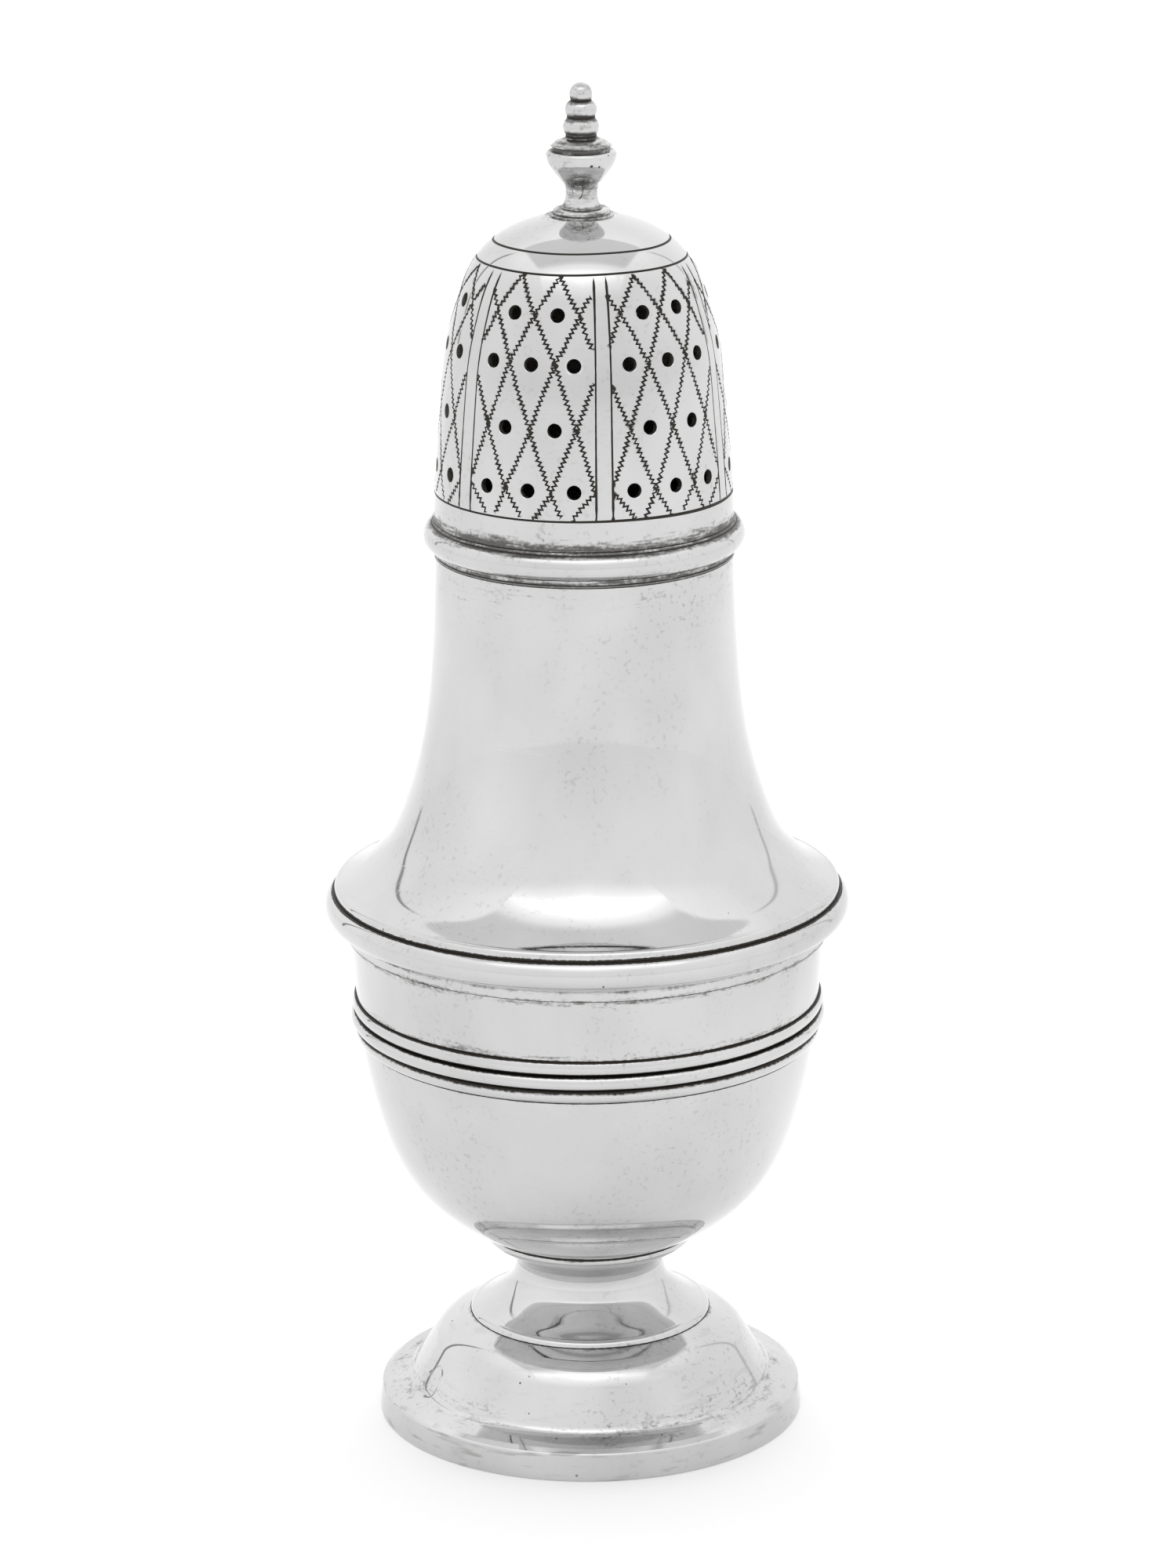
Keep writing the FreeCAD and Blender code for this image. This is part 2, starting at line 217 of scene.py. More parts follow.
# %% The two upright edges of the paper behind the object, and the fill that matt things get
fill_front, fill_back, fill_reach = 0.26, 1.86, 0.9
edge_turn, edge_width, edge_top = math.radians(49.5), math.radians(1.1), (0.55, 0.75)
edge_shade_left, edge_shade_right = 0.30, 0.62
turn_from_back = sky.math("ARCTAN2", axes["X"], axes["Y"])
for turn, dark in ((-edge_turn, edge_shade_left), (edge_turn, edge_shade_right)):
    edge = sky.fade(sky.apart(turn_from_back, turn), edge_width * 0.5, edge_width * 1.5, dark, 1.0)
    tent = sky.times(tent, sky.most(edge, sky.fade(axes["Z"], *edge_top)))
fill = sky.fade(axes["Y"], -fill_reach, fill_reach, fill_front, fill_back)
level = sky.fade(sky.seen(), 0.0, 1.0, fill, tent)
back = sky.add("ShaderNodeBackground", {"Color": grey(1.0), "Strength": level})
sky.add("ShaderNodeOutputWorld", {"Surface": back.outputs[0]})
print("soft fill from", fill_front, "to", fill_back)

# %% Floor: pale, and white where no shadow falls
floor_half = 3.0
floor_shade = 0.80
floor_lift = 0.30
floor_mesh = bpy.data.meshes.new("floor")
corners = [(x * floor_half, y * floor_half, 0) for x, y in ((-1, -1), (1, -1), (1, 1), (-1, 1))]
floor_mesh.from_pydata(corners, [], [(0, 1, 2, 3)])
add_object("floor", floor_mesh)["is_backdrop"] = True
paper = bpy.data.materials.new("paper")
work = fresh_tree(paper)
matt = work.add("ShaderNodeBsdfDiffuse", {"Color": grey(floor_shade)})
glow = work.add("ShaderNodeEmission", {"Color": grey(1.0), "Strength": work.times(work.seen(), floor_lift)})
both = work.add("ShaderNodeAddShader", {0: matt.outputs[0], 1: glow.outputs[0]})
work.add("ShaderNodeOutputMaterial", {"Surface": both.outputs[0]})
floor_mesh.materials.append(paper)
print("floor", 2 * floor_half, "m wide")

# %% Soft light in front and above
light_distance = 1.1
light_rise = math.radians(57)
light_size = (1.38, 1.17)
light_level = 0.56
lower_slant = 0.5
first_glow, full_glow, top_fade = (0.0, 0.45, 0.0, 0.34), (0.33, 0.56, 0.0, 0.66), (0.62, 0.82, 1.0, 0.06)
light_data = bpy.data.lights.new("soft light", "AREA")
light_data.shape = "RECTANGLE"
light_data.size, light_data.size_y = light_size
light_data.energy = light_level * math.pi * light_size[0] * light_size[1]
cloth = fresh_tree(light_data)
spot = cloth.add("ShaderNodeSeparateXYZ", {0: cloth.add("ShaderNodeNewGeometry").outputs["Parametric"]}).outputs
risen = cloth.math("SUBTRACT", spot["Y"], cloth.times(cloth.apart(spot["X"], 0.5), lower_slant))
glow = cloth.times(cloth.plus(cloth.fade(risen, *first_glow), cloth.fade(risen, *full_glow)),
                   cloth.fade(spot["Y"], *top_fade))
cloth.add("ShaderNodeOutputLight", {"Surface": cloth.add("ShaderNodeEmission", {"Strength": glow}).outputs[0]})
light = add_object("soft light", light_data)
light.visible_camera = False
toward = Vector((0, -math.cos(light_rise), math.sin(light_rise)))
light.location = Vector((0, 0, cad_high.z / 2)) + toward * light_distance
light.rotation_mode = "QUATERNION"
light.rotation_quaternion = toward.to_track_quat("Z", "Y")
print("light energy", round(light_data.energy, 2), "W")

# %% [markdown]
# ## Effects that several finishes share
# Old silver isn't one colour. It has a cloudy haze, a web of hairline scratches from polishing cloths, tiny
# pits, and a brown-black tarnish that stays where the cloth can't reach. Each effect is a node group, so that
# every finish below uses the same ones with its own values.

# %% Helper that makes a node group with named sockets


def group(name, inputs, outputs, build):
    """A shader node group: inputs are names with values, and build fills the outputs' values."""
    tree = bpy.data.node_groups.new(name, "ShaderNodeTree")
    for socket, value in inputs.items():
        made = tree.interface.new_socket(name=socket, in_out="INPUT", socket_type="NodeSocketFloat")
        made.default_value = value
    for socket in outputs:
        tree.interface.new_socket(name=socket, in_out="OUTPUT", socket_type="NodeSocketFloat")
    work = Tree(tree)
    given = work.add("NodeGroupInput").outputs
    place = work.add("ShaderNodeTexCoord").outputs["Object"]
    work.add("NodeGroupOutput", dict(zip(outputs, build(work, given, place))))
    print("group", name, "gives", ", ".join(outputs))
    return tree


# %% Cloudy haze


def build_haze(work, given, place):
    """Broad clouds, and fine speckles that gather in some of them."""
    broad = work.noise(place, given["Scale"], 3.0)
    drifts = work.noise(place, work.times(given["Scale"], 2.6), 3.0, (1.0, 1.0, 0.55))
    fine = work.noise(place, given["Grain"], 4.0)
    cloud = work.plus(work.times(work.fade(broad, 0.34, 0.68), 0.6),
                      work.times(work.fade(drifts, 0.36, 0.66), 0.4))
    return cloud, work.times(work.fade(fine, 0.56, 0.70), work.fade(drifts, 0.44, 0.64, 0.12, 1.0))


haze_group = group("silver haze", {"Scale": 34.0, "Grain": 1500.0}, ["Cloud", "Speckle"], build_haze)

# %% Hairline scratches and smudges


def build_scratches(work, given, place):
    """Two sets of thin streaks that cross, and soft smudges that lie along the turning."""
    turned = work.add("ShaderNodeMapping", {"Vector": place, "Rotation": (0.5, 0.35, 0.7)}).outputs[0]
    around = work.noise(place, given["Scale"], 2.0, (1.0, 1.0, 46.0))
    across = work.noise(turned, given["Scale"], 2.0, (1.0, 38.0, 1.0))
    patches = work.fade(work.noise(place, 70.0), 0.45, 0.62)
    marks = work.times(work.plus(work.fade(around, 0.60, 0.72), work.fade(across, 0.62, 0.74)), patches)
    return marks, work.fade(work.noise(place, 150.0, 4.0, (1.0, 1.0, 7.0)), 0.56, 0.70)


scratch_group = group("hairline scratches", {"Scale": 60.0}, ["Scratches", "Smudges"], build_scratches)

# %% Pits and specks


def build_pits(work, given, place):
    """Small dark points, scattered far apart."""
    cells = work.add("ShaderNodeTexVoronoi", {"Vector": place, "Scale": given["Scale"], "Randomness": 1.0})
    pick = work.add("ShaderNodeSeparateColor", {"Color": cells.outputs["Color"]}).outputs
    chosen = work.math("LESS_THAN", pick[0], given["Share"])
    size = work.times(work.fade(pick[1], 0.0, 1.0, 0.03, 0.085), given["Size"])
    dot = work.math("LESS_THAN", cells.outputs["Distance"], size)
    return (work.times(dot, chosen, work.fade(pick[2], 0.0, 1.0, 0.35, 1.0)),)


pit_group = group("pits", {"Scale": 520.0, "Share": 0.05, "Size": 1.0}, ["Pits"], build_pits)

# %% Tarnish in the creases


def build_tarnish(work, given, place):
    """A thin black line in the crease, and a mottled stain that fades away from it."""
    fine = work.noise(place, 1900.0, 4.0, (1.0, 1.0, 1.6))
    streaky = work.noise(place, 300.0, 4.0, (1.0, 1.0, 9.0))
    wide = work.noise(place, 90.0, 3.0)
    wander = work.times(work.plus(fine, wide, -1.0), 0.45)
    line = work.fade(work.plus(given["Crease"], wander), 0.45, 0.72)
    rough_edge = work.plus(work.times(fine, 0.8), work.times(streaky, 1.4), work.times(wide, 0.8), -1.5)
    spread = work.times(work.fade(work.plus(given["Stain"], rough_edge), 0.45, 1.15), 0.85)
    return (work.most(line, spread),)


tarnish_group = group("crease tarnish", {"Crease": 0.0, "Stain": 0.0}, ["Tarnish"], build_tarnish)

# %% An old bruise


def build_bruise(work, given, place):
    """A thin broken outline round one shallow hollow, where the metal was knocked once."""

    def joined(*names):
        values = {axis: given[name] for axis, name in zip("XYZ", names)}
        return work.add("ShaderNodeCombineXYZ", values).outputs[0]

    offset = work.vector("SUBTRACT", place, joined("X", "Y", "Z"))[0]
    offset = work.vector("DIVIDE", offset, joined("Wide", "Wide", "High"))[0]
    away = work.vector("LENGTH", offset)["Value"]
    away = work.plus(away, work.times(work.plus(work.noise(place, 420.0), -0.5), 1.1))
    broken = work.fade(work.noise(place, 700.0, 3.0), 0.42, 0.60, 0.05, 1.0)
    line = work.times(work.fade(work.apart(away, 1.0), 0.03, 0.13, 1.0, 0.0), given["Dark"], broken)
    return line, work.fade(away, 0.2, 1.0, 1.0, 0.0)


bruise_inputs = {"X": 0.0, "Y": 0.0, "Z": 0.0, "Wide": 0.001, "High": 0.001, "Dark": 1.0}
bruise_group = group("old bruise", bruise_inputs, ["Outline", "Hollow"], build_bruise)

# %% [markdown]
# ## Finishes
# All the silver is one metal, so one function builds it, and the finishes differ in how cloudy, smudged, pitted
# and rough they are. The sheet pieces are smooth with soft clouds. The rim is smudged by hands. The cast pieces
# hold more pits. The inside was never polished. Creases, stains and cuts arrive as values painted on the mesh
# points, because they belong to places on the section. Four finishes carry one bruise each: its place and its
# size in metres, and how dark its outline is.

# %% Silver
silver_colour, cloud_colour = grey(0.625), grey(0.530)
speck_colour = (0.33, 0.325, 0.32, 1.0)
stain_colour = (0.040, 0.036, 0.032, 1.0)
no_bruise = (0.0, 0.0, -1.0, 0.001, 0.001, 0.0)
relief_depth = 0.02 * mm


def silver(name, colour=silver_colour, cloudy=cloud_colour, roughness=(0.035, 0.085), speckled=0.36,
           smudged=0.0, scratched=0.30, pit_share=0.04, pit_scale=520.0, pit_size=1.0, bruise=no_bruise):
    """A silver finish with clouds, specks, scratches, pits and one bruise, stained where the mesh says so."""
    material = bpy.data.materials.new(name)
    work = fresh_tree(material)

    def placed(tree, **values):
        return work.add("ShaderNodeGroup", values, node_tree=tree).outputs

    def painted(value):
        return work.add("ShaderNodeAttribute", attribute_name=value).outputs["Fac"]

    haze, marks = placed(haze_group), placed(scratch_group)
    pits = placed(pit_group, Share=pit_share, Scale=pit_scale, Size=pit_size)["Pits"]
    stain = placed(tarnish_group, Crease=painted("crease"), Stain=painted("stain"))["Tarnish"]
    knock = placed(bruise_group, **dict(zip(bruise_inputs, bruise)))
    dark = work.most(stain, pits, work.fade(painted("cut"), 0.02, 0.32), knock["Outline"])
    gathered = work.math("MINIMUM", work.plus(work.times(painted("stain"), 1.1), speckled), 1.0)
    spotted = work.most(work.times(haze["Speckle"], gathered), work.times(marks["Smudges"], smudged))
    shown = work.blend(spotted, work.blend(haze["Cloud"], colour, cloudy), speck_colour)
    shown = work.blend(dark, shown, stain_colour)
    rough = work.plus(work.fade(haze["Cloud"], 0.0, 1.0, *roughness),
                      work.times(marks["Scratches"], scratched * 0.2))
    rough = work.most(rough, work.times(dark, 0.5))
    relief = work.plus(work.times(haze["Speckle"], 0.3), work.times(marks["Scratches"], scratched),
                       work.times(knock["Hollow"], 1.5), dark)
    bumped = work.add("ShaderNodeBump", {"Height": work.times(relief, -1.0), "Strength": 0.25,
                                         "Distance": relief_depth})
    surface = work.add("ShaderNodeBsdfPrincipled", {"Base Color": shown, "Roughness": rough, "Metallic": 1.0,
                                                    "Normal": bumped.outputs[0]})
    work.add("ShaderNodeOutputMaterial", {"Surface": surface.outputs[0]})
    print("finish", name)
    return material


print("silver has", len(bpy.data.node_groups), "effects to draw on")

# %% The finishes: sheet, foot, rim, cast pieces, finial, the wire's painted shade, and inside
sheet_silver = silver("sheet_silver", bruise=(0.01168, -0.01442, 0.1024, 0.0003, 0.0010, 0.6))
foot_silver = silver("foot_silver", speckled=0.5, smudged=0.2, pit_share=0.12, pit_scale=900.0, pit_size=1.6,
                     bruise=(-0.0203, -0.0090, 0.0064, 0.0018, 0.0021, 0.7))
rim_silver = silver("rim_silver", smudged=0.7, pit_share=0.08, scratched=0.6)
cast_silver = silver("cast_silver", speckled=0.35, pit_share=0.06,
                     bruise=(0.0042, -0.0146, 0.0134, 0.0004, 0.0007, 0.9))
finial_silver = silver("finial_silver", speckled=1.0, smudged=0.6, roughness=(0.07, 0.18), pit_share=0.3,
                       pit_scale=1000.0, pit_size=3.0,
                       bruise=(-0.0005, -0.0019, 0.1588, 0.0006, 0.0013, 1.0))
# The mouth wire sits in the gap under the cover's moulding. Its dark grey colour is painted shade of that gap.
wire_painted_shade = silver("wire_painted_shade", colour=grey(0.20), cloudy=grey(0.14), roughness=(0.12, 0.2))
inside_silver = silver("inside_silver", colour=(0.30, 0.28, 0.25, 1.0), cloudy=(0.2, 0.19, 0.17, 1.0),
                       roughness=(0.4, 0.6))

# %% [markdown]
# ## Turned pieces
# A lathe works a section while it spins, and so does this function: it takes the section as stretches of radius
# and height, and joins their points round the axis. Stretches meet in sharp creases. Blender's Screw modifier
# could turn the section too, but the points also carry the crease value for the stain, so they are made here.

# %% Curves of a section, in millimetres
tiny = 1e-6


def lengths(steps):
    """The length of each step."""
    return np.linalg.norm(steps, axis=-1)


def travelled(places):
    """The distance along the places up to each of them."""
    return np.concatenate([[0], np.cumsum(lengths(np.diff(places, axis=0)))])


def smooth(places, step):
    """Points on a smooth curve through the places: a natural cubic spline over the chord length."""
    places = np.array(places, float)
    chord = travelled(places)
    gaps, count = np.diff(chord), len(places)
    system, right = np.eye(count), np.zeros((count, 2))
    slopes = np.diff(places, axis=0) / gaps[:, None]
    for i in range(1, count - 1):
        system[i, i - 1:i + 2] = gaps[i - 1], 2 * (gaps[i - 1] + gaps[i]), gaps[i]
        right[i] = 6 * (slopes[i] - slopes[i - 1])
    bends = np.linalg.solve(system, right)
    at = np.linspace(0, chord[-1], max(3, int(chord[-1] / step) + 2))
    i = np.clip(np.searchsorted(chord, at, side="right") - 1, 0, count - 2)
    after, before = (at - chord[i])[:, None], (chord[i + 1] - at)[:, None]
    gap = gaps[i][:, None]
    cubic = (bends[i] * before ** 3 + bends[i + 1] * after ** 3) / (6 * gap)
    start, end = places[i] / gap - bends[i] * gap / 6, places[i + 1] / gap - bends[i + 1] * gap / 6
    return cubic + start * before + end * after


print("a test curve has", len(smooth([(0, 0), (1, 1), (2, 0)], 0.5)), "points")

# %% Arcs, and shapes given as shares


def arc(start, via, end, count=14):
    """Points on the circle through three places."""
    (ax, ay), (bx, by), (cx, cy) = start, via, end
    d = 2 * (ax * (by - cy) + bx * (cy - ay) + cx * (ay - by))
    a, b, c = ax * ax + ay * ay, bx * bx + by * by, cx * cx + cy * cy
    centre = np.array([(a * (by - cy) + b * (cy - ay) + c * (ay - by)) / d,
                       (a * (cx - bx) + b * (ax - cx) + c * (bx - ax)) / d])
    turns = np.unwrap([math.atan2(*(np.array(place) - centre)[::-1]) for place in (start, via, end)])
    at = np.linspace(turns[0], turns[2], count)
    return centre + math.dist(start, centre) * np.stack([np.cos(at), np.sin(at)], axis=1)


def rounded(before, corner, after, radius, count=8):
    """The arc that rounds a corner between two straight runs."""
    before, corner, after = (np.array(place, float) for place in (before, corner, after))
    back = (before - corner) / lengths(before - corner)
    on = (after - corner) / lengths(after - corner)
    half_angle = math.acos(np.clip(back @ on, -1, 1)) / 2
    tangent = radius / math.tan(half_angle)
    depth = radius / math.sin(half_angle) - radius
    middle = (back + on) / lengths(back + on)
    return arc(corner + back * tangent, corner + middle * depth, corner + on * tangent, count)


def between(shares, start, end):
    """Places given as shares of radius and height between a start and an end."""
    return [(end[0] + r * (start[0] - end[0]), start[1] + z * (end[1] - start[1])) for r, z in shares]


def rising(shares, start, end):
    """The same, for a radius share that grows from the start to the end."""
    return between([(1 - r, z) for r, z in shares], start, end)


def inward(curve, wall):
    """A curve moved by the wall, square to itself and towards the axis."""
    along = np.gradient(np.array(curve), axis=0)
    along /= lengths(along)[:, None]
    return np.array(curve) + wall * np.stack([-along[:, 1], along[:, 0]], axis=1)


print("a test arc has", len(arc((1, 0), (0.7, 0.7), (0, 1))), "points")

# %% Straight runs and joined runs
end_gap = 0.03


def line(*places):
    """Straight runs through places. A point close to each end keeps their shading straight."""
    points = [np.array(places[0], float)]
    for start, end in zip(places, places[1:]):
        start, end = np.array(start, float), np.array(end, float)
        step = (end - start) / lengths(end - start) * end_gap
        points += [start + step, end - step, end]
    return np.array(points)


def legs(*places):
    """Straight stretches from place to place, which meet in creases."""
    return [line(*pair) for pair in zip(places, places[1:])]


def join(*runs):
    """Runs that flow into each other without a crease."""
    points = [runs[0]]
    for run in runs[1:]:
        touching = lengths(points[-1][-1] - run[0]) < tiny
        points.append(run[1:] if touching else run)
    return np.concatenate(points)


def soft_corner(before, corner, after, radius, count=8):
    """Two straight runs with a rounded corner, as one stretch."""
    bend = rounded(before, corner, after, radius, count)
    return join(line(before, bend[0]), bend, line(bend[-1], after))


print("a run of two legs has", len(line((0, 0), (1, 0), (1, 1))), "points")

# %% What a mesh carries: sharp rings, painted values, its finish, body and node
turn_steps = 240


def mark_sharp(mesh, starts, sharp):
    """The rings where two stretches meet are drawn as sharp edges."""
    ring_of = np.searchsorted(np.array(starts), np.arange(len(mesh.vertices)), side="right") - 1
    ends = np.zeros(len(mesh.edges) * 2, np.int32)
    mesh.edges.foreach_get("vertices", ends)
    rings = ring_of[ends.reshape(-1, 2)]
    flags = (rings[:, 0] == rings[:, 1]) & np.isin(rings[:, 0], sorted(sharp))
    layer = mesh.attributes.new("sharp_edge", "BOOLEAN", "EDGE")
    layer.data.foreach_set("value", flags)


def near_creases(section, creases):
    """How near to the creases each ring of the section lies, from 0 to the crease's own value."""
    values = []
    for radius, height in section:
        near = [much * math.exp(-((radius - r) ** 2 + (height - z) ** 2) / width ** 2)
                for r, z, width, much in creases if width]
        values += [max(near, default=0.0)] * (turn_steps if radius >= tiny else 1)
    return values


def paint(mesh, name, values):
    """A value for each point of a mesh, which the finishes read."""
    layer = mesh.attributes.new(name, "FLOAT", "POINT")
    layer.data.foreach_set("value", np.array(values, np.float32))


def dress(name, mesh, body, node, material):
    """The mesh becomes a piece with its finish, which rides on its body and stands for its node."""
    piece = add_object(name, mesh)
    mesh.materials.append(material)
    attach(piece, body)
    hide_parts(node)
    print("piece", name, len(mesh.vertices), "points")


def seat(node):
    """A node's lowest and highest heights and its outer radius, in millimetres."""
    low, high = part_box(node)
    return low.z / mm, high.z / mm, high.x / mm


# %% The lathe
turns = [2 * math.pi * step / turn_steps for step in range(turn_steps)]
finest_step, crease_reach, steps_across = 0.05, 2.2, 2.5


def finer(stretch, creases):
    """The stretch with more points wherever it passes a crease, so that the stain is drawn sharply there."""
    points = [stretch[0]]
    for start, end in zip(stretch, stretch[1:]):
        length = math.dist(start, end)
        step = length
        for radius, height, *widths in creases:
            share = np.clip((np.array((radius, height)) - start) @ (end - start) / length ** 2, 0, 1)
            gap = math.dist(start + share * (end - start), (radius, height))
            for width in widths[:2]:
                if width and gap < crease_reach * width:
                    step = min(step, max(finest_step, width / steps_across))
        count = max(1, math.ceil(length / step - tiny))
        points += [start + (end - start) * i / count for i in range(1, count + 1)]
    return points


def lathe(name, body, node, stretches, material, creases=()):
    """A section turned about the axis. A crease is (radius, height, line width, stain width, stain)."""
    section, sharp = [], {0}
    for stretch in stretches:
        stretch = [tuple(place) for place in finer(np.array(stretch, float), creases)]
        if section and math.dist(section[-1], stretch[0]) < tiny:
            stretch = stretch[1:]
        section += stretch
        sharp.add(len(section) - 1)
    if math.dist(section[0], section[-1]) < tiny:
        section.pop()
    points, starts, faces = [], [], []
    for radius, height in section:
        starts.append(len(points))
        if radius < tiny:
            points.append((0, 0, height * mm))
        else:
            points += [(radius * mm * math.sin(t), -radius * mm * math.cos(t), height * mm) for t in turns]
    for ring, (radius, _) in enumerate(section):
        after = (ring + 1) % len(section)
        low, high = starts[ring], starts[after]
        wide_here, wide_after = radius >= tiny, section[after][0] >= tiny
        for step in range(turn_steps):
            beside = (step + 1) % turn_steps
            if wide_here and wide_after:
                faces.append((low + step, low + beside, high + beside, high + step))
            elif wide_here:
                faces.append((low + step, low + beside, high))
            elif wide_after:
                faces.append((low, high + beside, high + step))
    mesh = bpy.data.meshes.new(name)
    mesh.from_pydata(points, [], faces)
    mesh.shade_smooth()
    mark_sharp(mesh, starts, sharp)
    paint(mesh, "crease", near_creases(section, [(r, z, line_width, 1.0) for r, z, line_width, *_ in creases]))
    paint(mesh, "stain", near_creases(section, [(r, z, width, much) for r, z, _, width, much in creases]))
    dress(name, mesh, body, node, material)


print("lathe with", turn_steps, "steps a turn")

# %% [markdown]
# ## Foot
# The foot is three pieces: an upright rim, a dome raised from sheet, and a cast spool that stands on it. Their
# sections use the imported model's seats and the shares that their curves follow, so they fill the same space.

# %% Foot rim
sheet = 0.8
rim_lean, rim_fall, rim_softness, rim_chamfer, rim_thickness = 0.3, 0.5, 0.35, 0.25, 0.6
rim_bottom, rim_top, rim_radius = seat("foot_rim")
dome_edge = seat("foot_dome")[2]
rim_lip, rim_under = (dome_edge, rim_top), (dome_edge, rim_top - sheet)
rim_bore = dome_edge - rim_thickness
rim_foot, rim_side = (rim_radius - rim_chamfer, rim_bottom), (rim_radius, rim_bottom + rim_chamfer)
lathe("rim", "vessel", "foot_rim", [
    line((rim_bore, rim_bottom), rim_foot),
    join(arc(rim_foot, (rim_radius - 0.07, rim_bottom + 0.07), rim_side),
         soft_corner(rim_side, (rim_radius - rim_lean, rim_top - rim_fall), rim_lip, rim_softness)),
    *legs(rim_lip, rim_under, (rim_bore, rim_top - sheet), (rim_bore, rim_bottom))],
    rim_silver)

# %% Foot dome
vent = 8.0
foot_seat, stem_foot_radius = seat("foot_dome")[1], seat("foot_stem")[2]
hollow, hollow_round = (23.05, rim_top + 0.65), 2.1
shoulder, shoulder_round = (18.95, foot_seat - 1.62), 6.4
stem_place = (stem_foot_radius, foot_seat)
first_bend = rounded(rim_lip, hollow, shoulder, hollow_round, 20)
second_bend = rounded(hollow, shoulder, stem_place, shoulder_round, 32)
lean = math.atan2(shoulder[1] - hollow[1], hollow[0] - shoulder[0])
shift = sheet * math.tan(lean / 2)
lathe("foot", "vessel", "foot_dome", [
    join(line(rim_lip, first_bend[0]), first_bend, line(first_bend[-1], second_bend[0]), second_bend,
         line(second_bend[-1], stem_place)),
    *legs(stem_place, (vent, foot_seat), (vent, foot_seat - sheet), (stem_foot_radius, foot_seat - sheet),
          *[(radius - shift, height - sheet) for radius, height in (shoulder, hollow)], rim_under, rim_lip)],
    foot_silver, [(*stem_place, 0.12, 0.6, 0.75), (*hollow, 0, 3.4, 0.50)])

# %% Foot stem
stem_edge, stem_wall, stem_cup, spread_height, spread_end = 0.85, 1.15, 4.9, 0.6, 12.4
stem_seat, stem_top_radius = seat("foot_stem")[1], seat("bowl_collar")[2] - 1.1
waist = (9.57, foot_seat + 6.5)
bead_side = stem_edge * half_root
flare_foot = (stem_foot_radius - stem_edge, foot_seat + stem_edge)
collar_foot = (stem_top_radius, stem_seat)
flare_shares = ((1.0, 0.0), (0.82, 0.085), (0.53, 0.255), (0.28, 0.436), (0.105, 0.61), (0.02, 0.78),
                (0.0, 1.0))
cup_shares = ((0.0, 0.0), (0.12, 0.31), (0.48, 0.63), (1.0, 1.0))
stem_run = between(flare_shares, flare_foot, waist) + rising(cup_shares, waist, collar_foot)[1:]
bore = waist[0] - stem_wall
lathe("stem", "vessel", "foot_stem", [
    arc(stem_place, (flare_foot[0] + bead_side, foot_seat + bead_side), flare_foot),
    smooth(stem_run, 0.25),
    *legs(collar_foot, (bore, stem_seat), (bore, foot_seat + stem_cup), (spread_end, foot_seat + spread_height),
          (spread_end, foot_seat), stem_place)],
    cast_silver, [(*stem_place, 0.13, 0.3, 0.75), (*collar_foot, 0, 0.8, 0.45)])

# %% [markdown]
# ## Bowl and drum
# The lower body is one raised sheet. A turned collar joins it to the stem. The triple reeds were drawn as a
# strip, bent round and soldered on, so they are a piece of their own, three half rounds side by side.

# %% Collar
collar_bulge = 0.28
bowl_seat, shoulder_seat, drum_radius = seat("lower_body")
collar_top = (seat("bowl_collar")[2], bowl_seat)
collar_middle = ((stem_top_radius + collar_top[0]) / 2 + collar_bulge,
                 (stem_seat + bowl_seat) / 2 - collar_bulge)
lathe("collar", "vessel", "bowl_collar", [
    arc(collar_foot, collar_middle, collar_top),
    *legs(collar_top, (bore, bowl_seat), (bore, stem_seat), collar_foot)],
    cast_silver, [(*collar_top, 0.24, 0.4, 0.7)])

# %% Bowl and drum
body_sheet = 0.9
drum_top = seat("shoulder_moulding")[0]
drum_edge, drum_inside = (drum_radius, drum_top), (drum_radius - body_sheet, shoulder_seat)
bowl_shares = ((0.0, 0.0), (0.16, 0.036), (0.334, 0.087), (0.525, 0.166), (0.678, 0.268), (0.817, 0.424),
               (0.921, 0.617), (0.972, 0.812), (1.0, 1.0))
bowl_run = smooth(rising(bowl_shares, collar_top, drum_edge), 0.35)
bowl_inside = inward(bowl_run, body_sheet)
reed_low, reed_high, _ = seat("reed_band")


def bowl_radius(height):
    """The radius of the bowl's outside at a height."""
    return float(np.interp(height, bowl_run[:, 1], bowl_run[:, 0]))


lathe("bowl", "vessel", "lower_body", [
    bowl_run,
    *legs(drum_edge, (drum_radius, shoulder_seat), drum_inside),
    join(line(drum_inside, bowl_inside[-1]), bowl_inside[::-1]),
    line(bowl_inside[0], (0, bowl_inside[0][1])),
    line((0, bowl_seat), collar_top)],
    sheet_silver, [(*collar_top, 0.24, 0.5, 0.7), (*drum_edge, 0, 1.1, 0.85),
                   (bowl_radius(reed_high), reed_high, 0.30, 1.2, 0.75),
                   (bowl_radius(reed_low), reed_low, 0.16, 0.4, 0.5)])

# %% Reed band
reed_stands_out = (0.6, 0.95, 0.58)
groove_widths = (0.85, 0.66, 0.32)
reed_floor, reed_back = 0.12, 0.05
reed_pitch = (reed_high - reed_low) / len(reed_stands_out)
reed_foot = place = (bowl_radius(reed_low) - reed_back, reed_low)
reed_run, reed_creases = [], [(bowl_radius(reed_low), reed_low, 0.16, 0.3, 0.5)]
for number, (stands_out, groove_width) in enumerate(zip(reed_stands_out, groove_widths)):
    top = reed_low + (number + 1) * reed_pitch
    nose = (bowl_radius(top - reed_pitch / 2) + stands_out, top - reed_pitch / 2)
    groove = (bowl_radius(top) + reed_floor, top)
    reed_run.append(arc(place, nose, groove, 24))
    reed_creases.append((*groove, groove_width, 0.5, 0.6))
    place = groove
reed_run += legs(place, (bowl_radius(reed_high) - reed_back, reed_high), reed_foot)
lathe("reeds", "vessel", "reed_band", reed_run, cast_silver, reed_creases)

